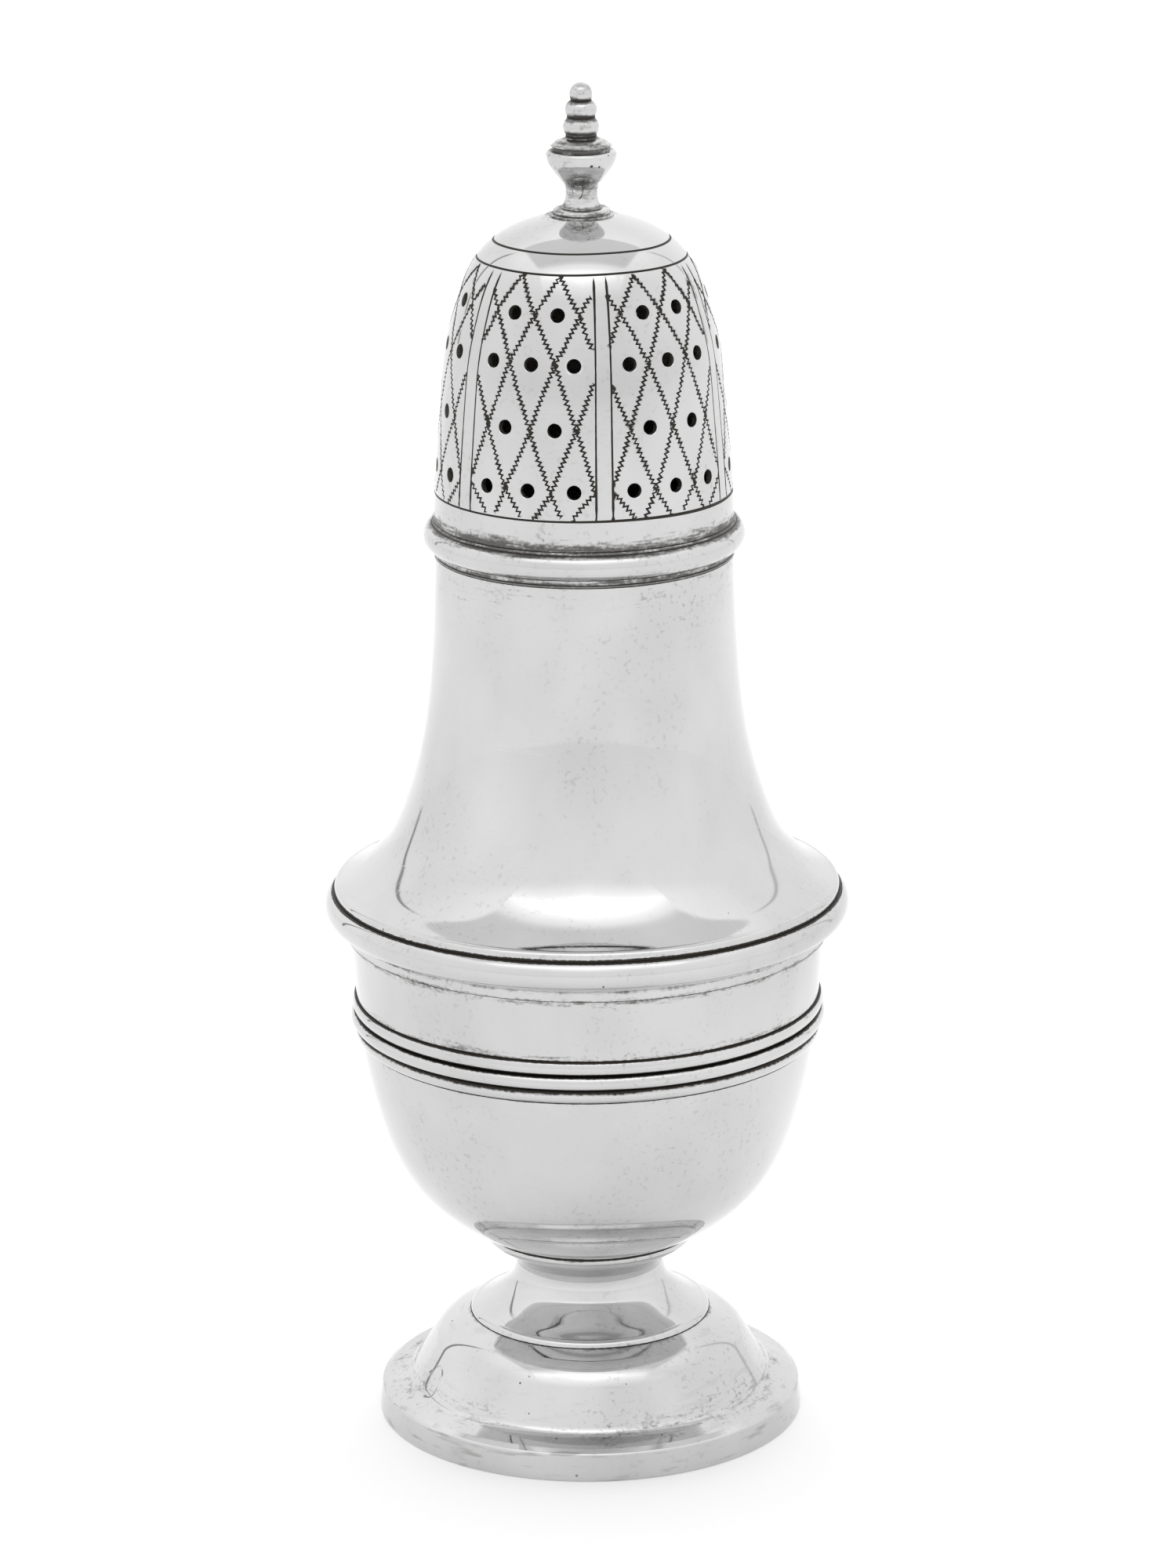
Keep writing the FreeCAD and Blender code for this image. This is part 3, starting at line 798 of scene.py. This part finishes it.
# %% [markdown]
# ## Shoulder and neck
# A half-round moulding hides the joint between the two halves of the body. Above it one sheet runs as an ogee
# from the shoulder to the neck. Its lip turns down on the moulding, where polish never reaches.

# %% Shoulder moulding
nose_round = 2.0
nose_radius, nose_height = seat("shoulder_moulding")[2], drum_top + 3.75
nose_centre, reach = nose_radius - nose_round, nose_round * half_root
fillet = (drum_radius + 0.6, drum_top + 1.2)
under_nose = (nose_centre + reach, nose_height - reach)
nose_edge = (nose_centre + math.sqrt(nose_round ** 2 - (shoulder_seat - nose_height) ** 2), shoulder_seat)
lathe("moulding", "vessel", "shoulder_moulding", [
    *legs(drum_edge, (fillet[0], drum_top), fillet),
    join(line(fillet, under_nose), arc(under_nose, (nose_radius, nose_height), nose_edge, 36)),
    *legs(nose_edge, (drum_radius, shoulder_seat), drum_edge)],
    cast_silver, [(*nose_edge, 0.4, 0.6, 0.5), (*fillet, 0, 0.35, 0.75), (fillet[0], drum_top, 0.10, 0.5, 0.8)])

# %% Upper body
lip_rounding, lip_inset, lip_height, neck_play, edge_height = 0.75, 1.2, 0.5, 0.12, 0.6
neck_top = seat("upper_body")[1]
neck_radius = seat("cover_dome")[2] - neck_play
lip_foot = (nose_radius - lip_inset, shoulder_seat)
lip_side = (lip_foot[0], shoulder_seat + lip_height)
slope = (lip_foot[0] - lip_rounding, lip_side[1] + lip_rounding)
lip_turn = lip_rounding * half_root
neck_shares = ((1.0, 0.0), (0.964, 0.0053), (0.8606, 0.0232), (0.813, 0.0327), (0.757, 0.0461), (0.661, 0.0736),
               (0.59, 0.0969), (0.522, 0.1222), (0.354, 0.226), (0.199, 0.377), (0.104, 0.527), (0.052, 0.676),
               (0.018, 0.84), (0.0, 1.0))
neck_run = smooth(between(neck_shares, slope, (neck_radius, neck_top)), 0.3)
neck_edge = (neck_radius, neck_top + edge_height)
neck_inside = inward(neck_run, sheet)
neck_inside[-1] = (neck_radius - sheet, neck_edge[1])
lip_arc = arc(lip_side, (slope[0] + lip_turn, lip_side[1] + lip_turn), slope)
lathe("shoulder_and_neck", "vessel", "upper_body", [
    join(line(lip_foot, lip_arc[0]), lip_arc),
    join(neck_run, line(neck_run[-1], neck_edge)),
    line(neck_edge, neck_inside[-1]),
    neck_inside[::-1],
    *legs(neck_inside[0], (lip_foot[0] - sheet, shoulder_seat), lip_foot)],
    sheet_silver, [(*lip_foot, 0.48, 0.8, 0.5), (*neck_edge, 0.10, 5.5, 0.32)])

# %% Neck rim
_, mouth, rim_outer = seat("neck_rim")
wire_foot, wire_inside = (rim_outer, neck_edge[1]), tuple(neck_inside[-1])
# The wire's dark grey finish is painted shade of the gap under the cover's moulding.
lathe("mouth_wire", "vessel", "neck_rim",
      legs(wire_inside, wire_foot, (rim_outer, mouth), (wire_inside[0], mouth), wire_inside),
      wire_painted_shade, [(*wire_foot, 0.10, 0.2, 0.6), (rim_outer, mouth, 0.12, 0.2, 0.6)])

# %% [markdown]
# ## Cover
# The cover lifts off. A plain sleeve inside it slips into the neck. A moulding goes round its foot, and a
# stepped disc carries the finial, a cast baluster with a bulb, two beads and a ball.

# %% Sleeve
sleeve_play, sleeve_wall = 0.05, 0.6
cover_seat, dome_top, dome_radius = seat("cover_dome")
sleeve_low, sleeve_high, _ = seat("cover_sleeve")
running, fixed = neck_radius - sheet - sleeve_play, dome_radius - sheet
sleeve_foot = (running - sleeve_wall, sleeve_low)
lathe("sleeve", "cover", "cover_sleeve",
      legs(sleeve_foot, (running, sleeve_low), (running, cover_seat), (fixed, cover_seat), (fixed, sleeve_high),
           (sleeve_foot[0], sleeve_high), sleeve_foot), inside_silver)

# %% Cover moulding
ring_seat, ring_foot, ring_nose, ring_ledge, ring_cove, ring_top = (
    (dome_radius + out, cover_seat + rise)
    for out, rise in ((0, 0.6), (0.33, 0.6), (1.34, 2.05), (0.85, 3.35), (0.22, 3.7), (0, 4.0)))
lathe("cover_ring", "cover", "cover_moulding", [
    line(ring_seat, ring_foot),
    arc(ring_foot, ring_nose, ring_ledge, 36),
    line(ring_ledge, ring_cove, ring_top),
    line(ring_top, ring_seat)],
    cast_silver, [(*ring_foot, 0.2, 1.0, 0.95), (*ring_cove, 0.16, 0.9, 1.15)])

# %% Finial base
plate_height, disc_radius, tang, foot_radius = 0.25, 3.5, 0.9, 2.55
plate_softness, disc_softness = 0.15, 0.4
_, finial_seat, plate_radius = seat("finial_base")
plate_top = dome_top + plate_height
plate_side, disc_side, tang_seat = (plate_radius, dome_top), (disc_radius, plate_top), (tang, finial_seat)
finial_foot = (foot_radius, finial_seat)
lathe("finial_step", "cover", "finial_base", [
    line((tang, dome_top), plate_side),
    soft_corner(plate_side, (plate_radius, plate_top), disc_side, plate_softness),
    soft_corner(disc_side, (disc_radius, finial_seat), tang_seat, disc_softness, 14),
    line(tang_seat, (tang, dome_top))],
    finial_silver, [(*plate_side, 0, 0.8, 0.95), (*disc_side, 0, 0.9, 1.0), (*finial_foot, 0, 1.0, 1.0)])

# %% Finial: heights and radii
tail, finial_top, bulb_radius = seat("finial")
waist_z, bulb_z, cap_z, neck_z, middle_z = [finial_seat + share * (finial_top - finial_seat)
                                            for share in (0.135, 0.43, 0.49, 0.593, 0.728)]
foot_shares = ((1.0, 0.0), (0.62, 0.17), (0.28, 0.42), (0.08, 0.7), (0.0, 1.0))
bulb_shares = ((0.0, 0.0), (0.03, 0.12), (0.32, 0.35), (0.66, 0.58), (0.91, 0.8), (1.0, 1.0))
finial_waist, finial_neck, ball, lower_bead, upper_bead = 1.93, 1.9, 1.4, 2.2, 1.95
rim_turn, groove_depth, cap_radius, cap_lip, cap_swell, straight = 0.5, 0.35, 3.75, 0.15, 0.12, 0.5
upper_crease, middle_crease, cove = 1.27, 1.73, 0.2
ball_z = finial_top - ball
upper_z = ball_z - math.sqrt(ball ** 2 - upper_crease ** 2)
bulb_rim, turned = bulb_radius - rim_turn, rim_turn * half_root
groove_radius, groove_z = bulb_rim - groove_depth, bulb_z + rim_turn
groove_middle = (groove_radius, (groove_z + cap_z) / 2)
cap_foot, cap_top = (cap_radius, cap_z + cap_lip), neck_z - straight
cap_via = ((cap_radius + finial_neck) / 2 + cap_swell, (cap_foot[1] + cap_top) / 2 + cap_swell)
lower_end, upper_start = (middle_crease, middle_z - cove), (middle_crease, middle_z + cove)
upper_end, ball_start = (upper_crease, upper_z - cove), (upper_crease, upper_z)
print("finial from", round(finial_seat, 2), "to", round(finial_top, 2), "mm")

# %% Finial: the turned piece
finial_run = between(foot_shares, finial_foot, (finial_waist, waist_z))
finial_run += rising(bulb_shares, (finial_waist, waist_z), (bulb_radius, bulb_z))[1:]
lathe("finial_baluster", "cover", "finial", [
    *legs((0, tail), (tang, tail), tang_seat, finial_foot),
    join(smooth(finial_run, 0.15), arc((bulb_radius, bulb_z), (bulb_rim + turned, bulb_z + turned),
                                       (bulb_rim, groove_z))),
    line((bulb_rim, groove_z), (groove_radius, groove_z), groove_middle, (groove_radius, cap_z)),
    line((groove_radius, cap_z), cap_foot),
    join(arc(cap_foot, cap_via, (finial_neck, cap_top)), line((finial_neck, cap_top), (finial_neck, neck_z))),
    arc((finial_neck, neck_z), (lower_bead, (neck_z + middle_z) / 2), lower_end, 20),
    line(lower_end, upper_start),
    arc(upper_start, (upper_bead, (middle_z + upper_z) / 2), upper_end, 20),
    line(upper_end, ball_start),
    arc(ball_start, (ball, ball_z), (0, finial_top), 28)],
    finial_silver, [(*finial_foot, 0.1, 1.2, 1.0), (*groove_middle, 0, 0.75, 1.15),
                    (finial_neck, neck_z - 0.25, 0.25, 0.9, 1.15), (middle_crease, middle_z, 0.25, 0.75, 1.15),
                    (upper_crease, upper_z - 0.1, 0.25, 0.75, 1.1), (finial_waist, waist_z + 0.8, 0, 2.6, 0.82),
                    (cap_radius - 0.8, cap_z + 0.7, 0, 0.9, 0.72), (0.5, finial_top - 0.1, 0, 1.5, 0.60)])

# %% [markdown]
# ## The pierced and engraved dome
# The dome is drilled and cut by hand. Its surface is unrolled to azimuth and distance along the section, the
# holes and cut lines are laid out on that flat sheet, and a constrained triangulation gives a mesh with an
# edge along each of them. The points then go back to the dome, and those inside a cut sink into the metal.
# Boolean cutters could drill the holes, but the cuts would leave ragged shading on so smooth a surface.

# %% The dome's outline
dome_shares = ((1.0, 0.0), (0.987, 0.111), (0.956, 0.274), (0.918, 0.438), (0.865, 0.602), (0.791, 0.71),
               (0.686, 0.818), (0.531, 0.9), (0.327, 0.955), (0.0, 1.0))
flat_edge = (4.4, dome_top)
dome_run = join(line((dome_radius, cover_seat), ring_top),
                smooth(between(dome_shares, ring_top, flat_edge), 0.1),
                line(flat_edge, (tang, dome_top)))
dome_way = travelled(dome_run)
along = np.gradient(dome_run, dome_way, axis=0)
along /= lengths(along)[:, None]


def at_way(way):
    """Radius, height and outward direction of the dome's outline at distances along it."""
    radius, height = (np.interp(way, dome_way, dome_run[:, i]) for i in (0, 1))
    out, rise = np.interp(way, dome_way, along[:, 1]), np.interp(way, dome_way, -along[:, 0])
    size = np.hypot(out, rise)
    return radius, height, out / size, rise / size


def way_of(height):
    """The distance along the outline where it has a height."""
    return float(np.interp(height, dome_run[:, 1], dome_way))


def on_dome(turn, way, depth=0.0):
    """Points on the dome, sunk by a depth, and their outward normals."""
    radius, height, out, rise = at_way(way)
    normal = np.stack([out * np.sin(turn), -out * np.cos(turn), rise], axis=-1)
    place = np.stack([radius * np.sin(turn), -radius * np.cos(turn), height], axis=-1)
    return place - normal * np.reshape(depth, (-1, 1)), normal


print("dome outline is", round(dome_way[-1], 1), "mm long")

# %% Places of the sixty holes: two stand a little beside their row, and one has a wide bevel
hole_radius, hole_bevel, wide_bevel = 0.9, 0.07, 0.26
panels, first_panel, first_divider = 6, 38.0, 8.0
row_of_two, row_of_three = (-10.6, 10.6), (-18.3, 0.0, 18.3)
hole_rows = ((32.5, row_of_two), (26.65, row_of_three), (18.85, row_of_two), (11.4, row_of_three))
strays, wide_hole = {0: 1.3, 26: 1.0}, 54
seam = math.radians(first_divider - 180)


def wrapped(turn):
    """A turn in degrees as radians from the seam onwards, so that the drawing stays on one sheet."""
    return seam + (math.radians(turn) - seam) % (2 * math.pi)


panel_turns = [first_panel + panel * 360 / panels for panel in range(panels)]
holes = [(wrapped(turn + offset), way_of(cover_seat + rise))
         for turn in panel_turns for rise, row in hole_rows for offset in row]
for number, stray in strays.items():
    holes[number] = (holes[number][0] + math.radians(stray), holes[number][1])
bevels = np.full(len(holes), hole_bevel)
bevels[wide_hole] = wide_bevel
hole_places, _ = on_dome(*np.array(holes).T)
print(len(holes), "holes")

# %% [markdown]
# ### Cuts
# Three rings and twelve upright lines are plain cuts, thicker at their ends where the graver went in. The
# diagonals are wriggle-work: the graver rocks from side to side as it moves, and leaves a zigzag. Each cut is
# a list of places with a half width, so that one function can outline them all.

# %% Cutters for rings and uprights, on the unrolled dome
rng = np.random.default_rng(7)
upper_ring, middle_ring, lower_ring = 152.4, 150.3, 121.1
cut_half, wedge_half, thinnest = 0.125, 0.11, 0.03
ring_waver, upright_shake, upright_bow, width_shake = (0.05, 0.03), 0.003, 0.004, 0.01
cuts = []


def true_scale(way):
    """Millimetres of surface for each unit of a (turn, way) place at distances along the outline."""
    return np.stack([at_way(way)[0], np.ones_like(way)], axis=-1)


def ring_cut(height, width, heavy=0.0):
    """A ring round the dome that wavers a little, and is heavier on one side."""
    turn = np.linspace(seam, seam + 2 * math.pi, 361)
    waver = ring_waver[0] * np.sin(2 * turn + height) + ring_waver[1] * np.sin(5 * turn)
    half = width + heavy * np.maximum(0, np.cos(turn - 1.0)) ** 2
    waver[-1], half[-1] = waver[0], half[0]
    cuts.append((np.stack([turn, way_of(height) + waver], axis=1), half))


def upright_cut(turn, low, high, lean, count=40):
    """A straight line up the dome, thin in the middle and wedge-shaped at its ends."""
    share = np.linspace(0, 1, count)
    way = way_of(low) + share * (way_of(high) - way_of(low))
    bow = turn + rng.normal(0, upright_shake) + upright_bow * np.sin(math.pi * share) * rng.normal()
    bow = bow + lean * share ** 2
    half = cut_half + wedge_half * np.abs(2 * share - 1) ** 3 + width_shake * rng.normal(size=count)
    half *= np.minimum(1, np.minimum(share, 1 - share) * 16 + 0.25)
    cuts.append((np.stack([bow, way], axis=1), np.maximum(half, thinnest)))


print("rings and uprights can be cut")

# %% The wriggle-work cutter
rocking_shake, swing_shake, run_bow, rocked_width = 0.10, 0.18, 0.07, 0.15


def wriggle_cut(start, end, pitch=0.29, reach=0.24):
    """A zigzag between two (turn, way) places, rocking to both sides of its line."""
    scale = true_scale((start[1] + end[1]) / 2)
    run = (end - start) * scale
    length = np.linalg.norm(run)
    side = np.array([-run[1], run[0]]) / length
    count = max(4, int(length / pitch))
    share = np.linspace(0, 1, count)
    share[1:-1] += rng.normal(0, rocking_shake / count, count - 2)
    swing = reach * (1 + swing_shake * rng.normal(size=count)) * np.where(np.arange(count) % 2, 1, -1)
    bow = run_bow * rng.normal() * np.sin(math.pi * share)
    path = start + ((share[:, None] * run) + (swing + bow)[:, None] * side) / scale
    cuts.append((path, cut_half * (1 + rocked_width * rng.normal(size=count))))


print("wriggle-work can be cut")

# %% Lay out the rings, the uprights and the wriggle-work
panel_half, divider_half, divider_lean = 26.2, 3.3, math.radians(1.2)
shortest_link, longest_link = 5, 11.5
crossings = [(150.1, (-31.5, -10.5, 10.5, 31.5)), (145.85, (-20.5, 0, 20.5)), (140.0, (-29, -9.9, 9.9, 29)),
             (132.2, (-19.2, 0, 19.2)), (124.75, (-26.8, -9.3, 9.3, 26.8)), (120.2, (-15.6, 0, 15.6))]
ring_cut(upper_ring, 0.19)
ring_cut(middle_ring, 0.17)
ring_cut(lower_ring, 0.15, 0.10)


def clipped(start, end, middle):
    """A diagonal between two (turn, way) places, cut off at its panel's sides and at the lower ring."""
    limit, lowest = math.radians(panel_half), way_of(lower_ring) + rng.uniform(0.0, 0.35)
    ends = []
    for near, far in ((start, end), (end, start)):
        beyond = abs(near[0] - middle) - limit
        if beyond > 0:
            near = near + (far - near) * beyond / (abs(near[0] - middle) - abs(far[0] - middle))
        if near[1] < lowest:
            near = near + (far - near) * (lowest - near[1]) / (far[1] - near[1])
        ends.append(near)
    return ends


for panel_turn in panel_turns:
    middle = wrapped(panel_turn)
    for side in (-1, 1):
        upright_cut(wrapped(math.degrees(middle) - 180 / panels + side * divider_half), lower_ring + 0.1,
                    middle_ring - 0.15, divider_lean)
    nodes = {(turn, height): np.array([middle + math.radians(turn + rng.normal(0, 0.35)),
                                       way_of(height) + rng.normal(0, 0.12)])
             for height, turns_there in crossings for turn in turns_there}
    for (high, upper), (low, lower) in zip(crossings, crossings[1:]):
        for a in upper:
            for b in lower:
                if shortest_link < abs(a - b) < longest_link and min(abs(a), abs(b)) < panel_half:
                    wriggle_cut(*clipped(nodes[a, high], nodes[b, low], middle))
print(len(cuts), "cuts")

# %% Outlines of the cuts, and samples along them
sample_step = 0.04
sharpest_mitre = 0.55


def outline(path, half):
    """The two edges of a cut, square to its line in true millimetres, in (turn, way)."""
    scale = true_scale(path[:, 1])
    leg = np.diff(path * scale, axis=0)
    leg /= lengths(leg)[:, None]
    side = np.stack([-leg[:, 1], leg[:, 0]], axis=1)
    before, after = np.vstack([side[:1], side]), np.vstack([side, side[-1:]])
    mitre = before + after
    mitre /= np.maximum(np.sum(mitre * before, axis=1), sharpest_mitre)[:, None]
    shift = mitre * half[:, None] / scale
    return path + shift, path - shift


def samples(path, half):
    """Points close together along a cut, with their half widths. Its ends are left out, so that they run up."""
    length = travelled(path * true_scale(path[:, 1]))
    at = np.union1d(length, np.arange(0, length[-1], sample_step))
    at = at[(at > half[0]) & (at < length[-1] - half[-1])]
    turn, way = (np.interp(at, length, path[:, i]) for i in (0, 1))
    return np.stack([turn, way, np.interp(at, length, half)], axis=1)


cut_samples = np.concatenate([samples(path, half) for path, half in cuts])
sample_places, _ = on_dome(cut_samples[:, 0], cut_samples[:, 1])
cut_tree = kdtree.KDTree(len(cut_samples))
for number, place in enumerate(sample_places):
    cut_tree.insert(place, number)
cut_tree.balance()
print(len(cut_samples), "samples along the cuts")

# %% Lattice points and hole rims
lattice_step, rim_points, hole_clear, cut_clear = 0.5, 32, 0.35, 0.10
sheet_scale, same = 17.0, 1e-4
dome_end = way_of(153.1)
rows = np.linspace(0, dome_end, int(dome_end / lattice_step) + 1)
columns = seam + np.linspace(0, 2 * math.pi, turn_steps + 1)


def rim(hole, radius):
    """A circle round a hole, in (turn, way)."""
    turn, way = hole
    step = np.arange(rim_points) * 2 * math.pi / rim_points
    return np.stack([turn + radius * np.cos(step) / at_way(way)[0], way + radius * np.sin(step)], axis=1)


def from_holes(places):
    """The distance of each place to each hole's middle."""
    return lengths(places[:, None, :] - hole_places[None])


def free_lattice(between_cuts):
    """Lattice points that are clear of the holes, and of the cuts too where the drawing has them."""
    turn, way = (grid.ravel() for grid in np.meshgrid(columns, rows))
    place, _ = on_dome(turn, way)
    keep = from_holes(place).min(axis=1) > hole_radius + hole_clear
    if between_cuts:
        for number in np.flatnonzero(keep):
            _, index, distance = cut_tree.find(place[number])
            keep[number] = distance > cut_samples[index, 2] + cut_clear
    keep |= (way < tiny) | (way > dome_end - tiny)
    return np.stack([turn, way], axis=1)[keep]


hole_rims = [(rim(hole, hole_radius), True) for hole in holes]
print(len(rows), "rows of", len(columns), "lattice points")

# %% Lattice, rims and cuts as one flat drawing


def triangulate(points, paths):
    """A constrained triangulation of loose points and of open or closed paths, in (turn, way)."""
    places, edges = [Vector((turn * sheet_scale, way)) for turn, way in points], []
    for path, closed in paths:
        first = len(places)
        places += [Vector((turn * sheet_scale, way)) for turn, way in path]
        edges += [(first + i, first + i + 1) for i in range(len(path) - 1)]
        if closed:
            edges.append((len(places) - 1, first))
    found, _, faces, *_ = delaunay_2d_cdt(places, edges, [], 0, 1e-5)
    found = np.array([tuple(place) for place in found])
    found[:, 0] /= sheet_scale
    faces = np.array(faces)
    middle, _ = on_dome(*found[faces].mean(axis=1).T)
    flat_side = hole_radius * math.cos(math.pi / rim_points)
    return found, faces[from_holes(middle).min(axis=1) > flat_side]


paths = hole_rims + [(rim(hole, hole_radius + bevel), True) for hole, bevel in zip(holes, bevels)]
for path, half in cuts:
    left, right = outline(path, half)
    paths += [(np.vstack([path[:1], left[1:-1], path[-1:], right[-2:0:-1]]), True), (path, False)]
outer_flat, outer_faces = triangulate(free_lattice(True), paths)
inner_flat, inner_faces = triangulate(free_lattice(False), hole_rims)
print("outside", len(outer_faces), "and inside", len(inner_faces), "triangles")

# %% [markdown]
# ### Back to the round
# The flat drawing goes back to the dome as an outside and an inside skin, one sheet apart. The holes get walls,
# the edges at the foot and at the finial's tang are closed, and the seam is welded. Plain metal takes its
# normals from the outline itself, so its reflections stay clean, and the cuts keep their own flat sides.

# %% How deep each point sinks
cut_depth, bevel_slope = 0.09, 0.8


def cut_share(place):
    """How far into a cut a place lies, from 0 at its edge to 1 at its middle."""
    _, index, distance = cut_tree.find(place)
    return max(0.0, 1 - distance / cut_samples[index, 2])


def bevel_depth(places):
    """How far each place sinks on the bevel round a hole."""
    gap = from_holes(places)
    nearest = np.argmin(gap, axis=1)
    past = gap[np.arange(len(places)), nearest] - hole_radius
    return np.clip(1 - past / bevels[nearest], 0, 1) * bevels[nearest] * bevel_slope


outer_places, outer_normals = on_dome(outer_flat[:, 0], outer_flat[:, 1])
cut_shares = np.array([cut_share(place) for place in outer_places])
sunk = np.maximum(cut_shares * cut_depth, bevel_depth(outer_places))
outer_skin, _ = on_dome(outer_flat[:, 0], outer_flat[:, 1], sunk)
inner_skin, inner_normals = on_dome(inner_flat[:, 0], inner_flat[:, 1], sheet)
print("cut points", int((cut_shares > 0.1).sum()))

# %% Join the skins, walls and cap


def edge_ring(flat, way):
    """The points of a skin on its lower or upper edge, in order round the dome, without the seam's double."""
    on_edge = np.flatnonzero(np.abs(flat[:, 1] - way) < same)
    return on_edge[np.argsort(flat[on_edge, 0])][:-1]


def welded(flat):
    """A new number for each point, where the points on the seam's far side take those of its near side."""
    near, far = (np.flatnonzero(np.abs(flat[:, 0] - columns[end]) < same) for end in (0, -1))
    number = np.arange(len(flat))
    number[far[np.argsort(flat[far, 1])]] = near[np.argsort(flat[near, 1])]
    return number


def band(low, high):
    """The faces between two rings of points, which face outwards if the second ring is higher."""
    return [(low[i - 1], low[i], high[i], high[i - 1]) for i in range(len(low))]


outer_faces = welded(outer_flat)[outer_faces]
inner_faces = welded(inner_flat)[inner_faces] + len(outer_flat)
places, normals = [outer_skin, inner_skin], [outer_normals, -inner_normals]
count = len(outer_flat) + len(inner_flat)
smooth_faces = [tuple(face) for face in outer_faces] + [tuple(face[::-1]) for face in inner_faces]
outer_ring, inner_ring = edge_ring(outer_flat, dome_end), edge_ring(inner_flat, dome_end) + len(outer_flat)
for way in dome_way[dome_way > dome_end + 0.05]:
    for depth, facing_out in ((0.0, 1), (sheet, -1)):
        ring, ring_normals = on_dome(columns[:-1], np.full(turn_steps, way), depth)
        places.append(ring)
        normals.append(ring_normals * facing_out)
    outer_next, inner_next = count + np.arange(turn_steps), count + turn_steps + np.arange(turn_steps)
    smooth_faces += band(outer_ring, outer_next) + band(inner_next, inner_ring)
    outer_ring, inner_ring = outer_next, inner_next
    count += 2 * turn_steps
flat_faces = band(outer_ring, inner_ring)
flat_faces += band(edge_ring(inner_flat, 0) + len(outer_flat), edge_ring(outer_flat, 0))
for circle, _ in hole_rims:
    outside, inside = (np.array([np.argmin(np.sum((flat - place) ** 2, axis=1)) for place in circle])
                       for flat in (outer_flat, inner_flat))
    flat_faces += band(outside, inside + len(outer_flat))
dome_places, dome_normals = np.concatenate(places), np.concatenate(normals)
dome_faces = [tuple(map(int, face)) for face in smooth_faces + flat_faces]
print("dome", len(dome_places), "points,", len(dome_faces), "faces")

# %% The dome's mesh and stains
dome_mesh = bpy.data.meshes.new("pierced_dome")
dome_mesh.from_pydata((dome_places * mm).tolist(), [], dome_faces)
dome_mesh.shade_smooth()
padding = np.zeros(len(dome_places) - len(outer_flat))
paint(dome_mesh, "cut", np.concatenate([cut_shares, padding]))


def near_ring(radius, height, width, much=1.0):
    """How near the dome's points lie to a ring, from 0 to the ring's own value."""
    gap = np.hypot(np.hypot(dome_places[:, 0], dome_places[:, 1]) - radius, dome_places[:, 2] - height)
    return much * np.exp(-(gap / width) ** 2)


paint(dome_mesh, "crease", near_ring(*ring_top, 0.16))
paint(dome_mesh, "stain", np.max([near_ring(*ring_top, 1.7, 1.15), near_ring(*plate_side, 0.9, 0.95),
                                  near_ring(dome_radius, cover_seat, 0.9, 1.1)], axis=0))
print("stained points", int((near_ring(*ring_top, 1.7) > 0.5).sum()))

# %% The dome's normals and inside
flat_above = 0.004
sunken = np.concatenate([sunk > flat_above, padding > 1])
corner_points = np.zeros(len(dome_mesh.loops), np.int32)
dome_mesh.loops.foreach_get("vertex_index", corner_points)
face_of_corner = np.repeat(np.arange(len(dome_faces)), [len(face) for face in dome_faces])
is_flat = np.arange(len(dome_faces)) >= len(smooth_faces)
np.logical_or.at(is_flat, face_of_corner, sunken[corner_points])
flat_normals = np.zeros(len(dome_faces) * 3)
dome_mesh.polygons.foreach_get("normal", flat_normals)
corner_normals = np.where(is_flat[face_of_corner][:, None], flat_normals.reshape(-1, 3)[face_of_corner],
                          dome_normals[corner_points])
dome_mesh.normals_split_custom_set(corner_normals.tolist())
dress("pierced_dome", dome_mesh, "cover", "cover_dome", sheet_silver)
dome_mesh.materials.append(inside_silver)
inside_face = np.zeros(len(dome_faces), np.int32)
inside_face[len(outer_faces):len(outer_faces) + len(inner_faces)] = 1
inside_face[len(smooth_faces):] = 1
dome_mesh.polygons.foreach_set("material_index", inside_face)
print("normals set on", len(corner_normals), "corners")

# %% [markdown]
# ## Size
# The dressed caster should stay inside the imported model's box, so both boxes are printed.

# %% Print the dressed caster's box
low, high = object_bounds()
print("dressed caster", [round(side / mm, 2) for side in high - low], "mm")
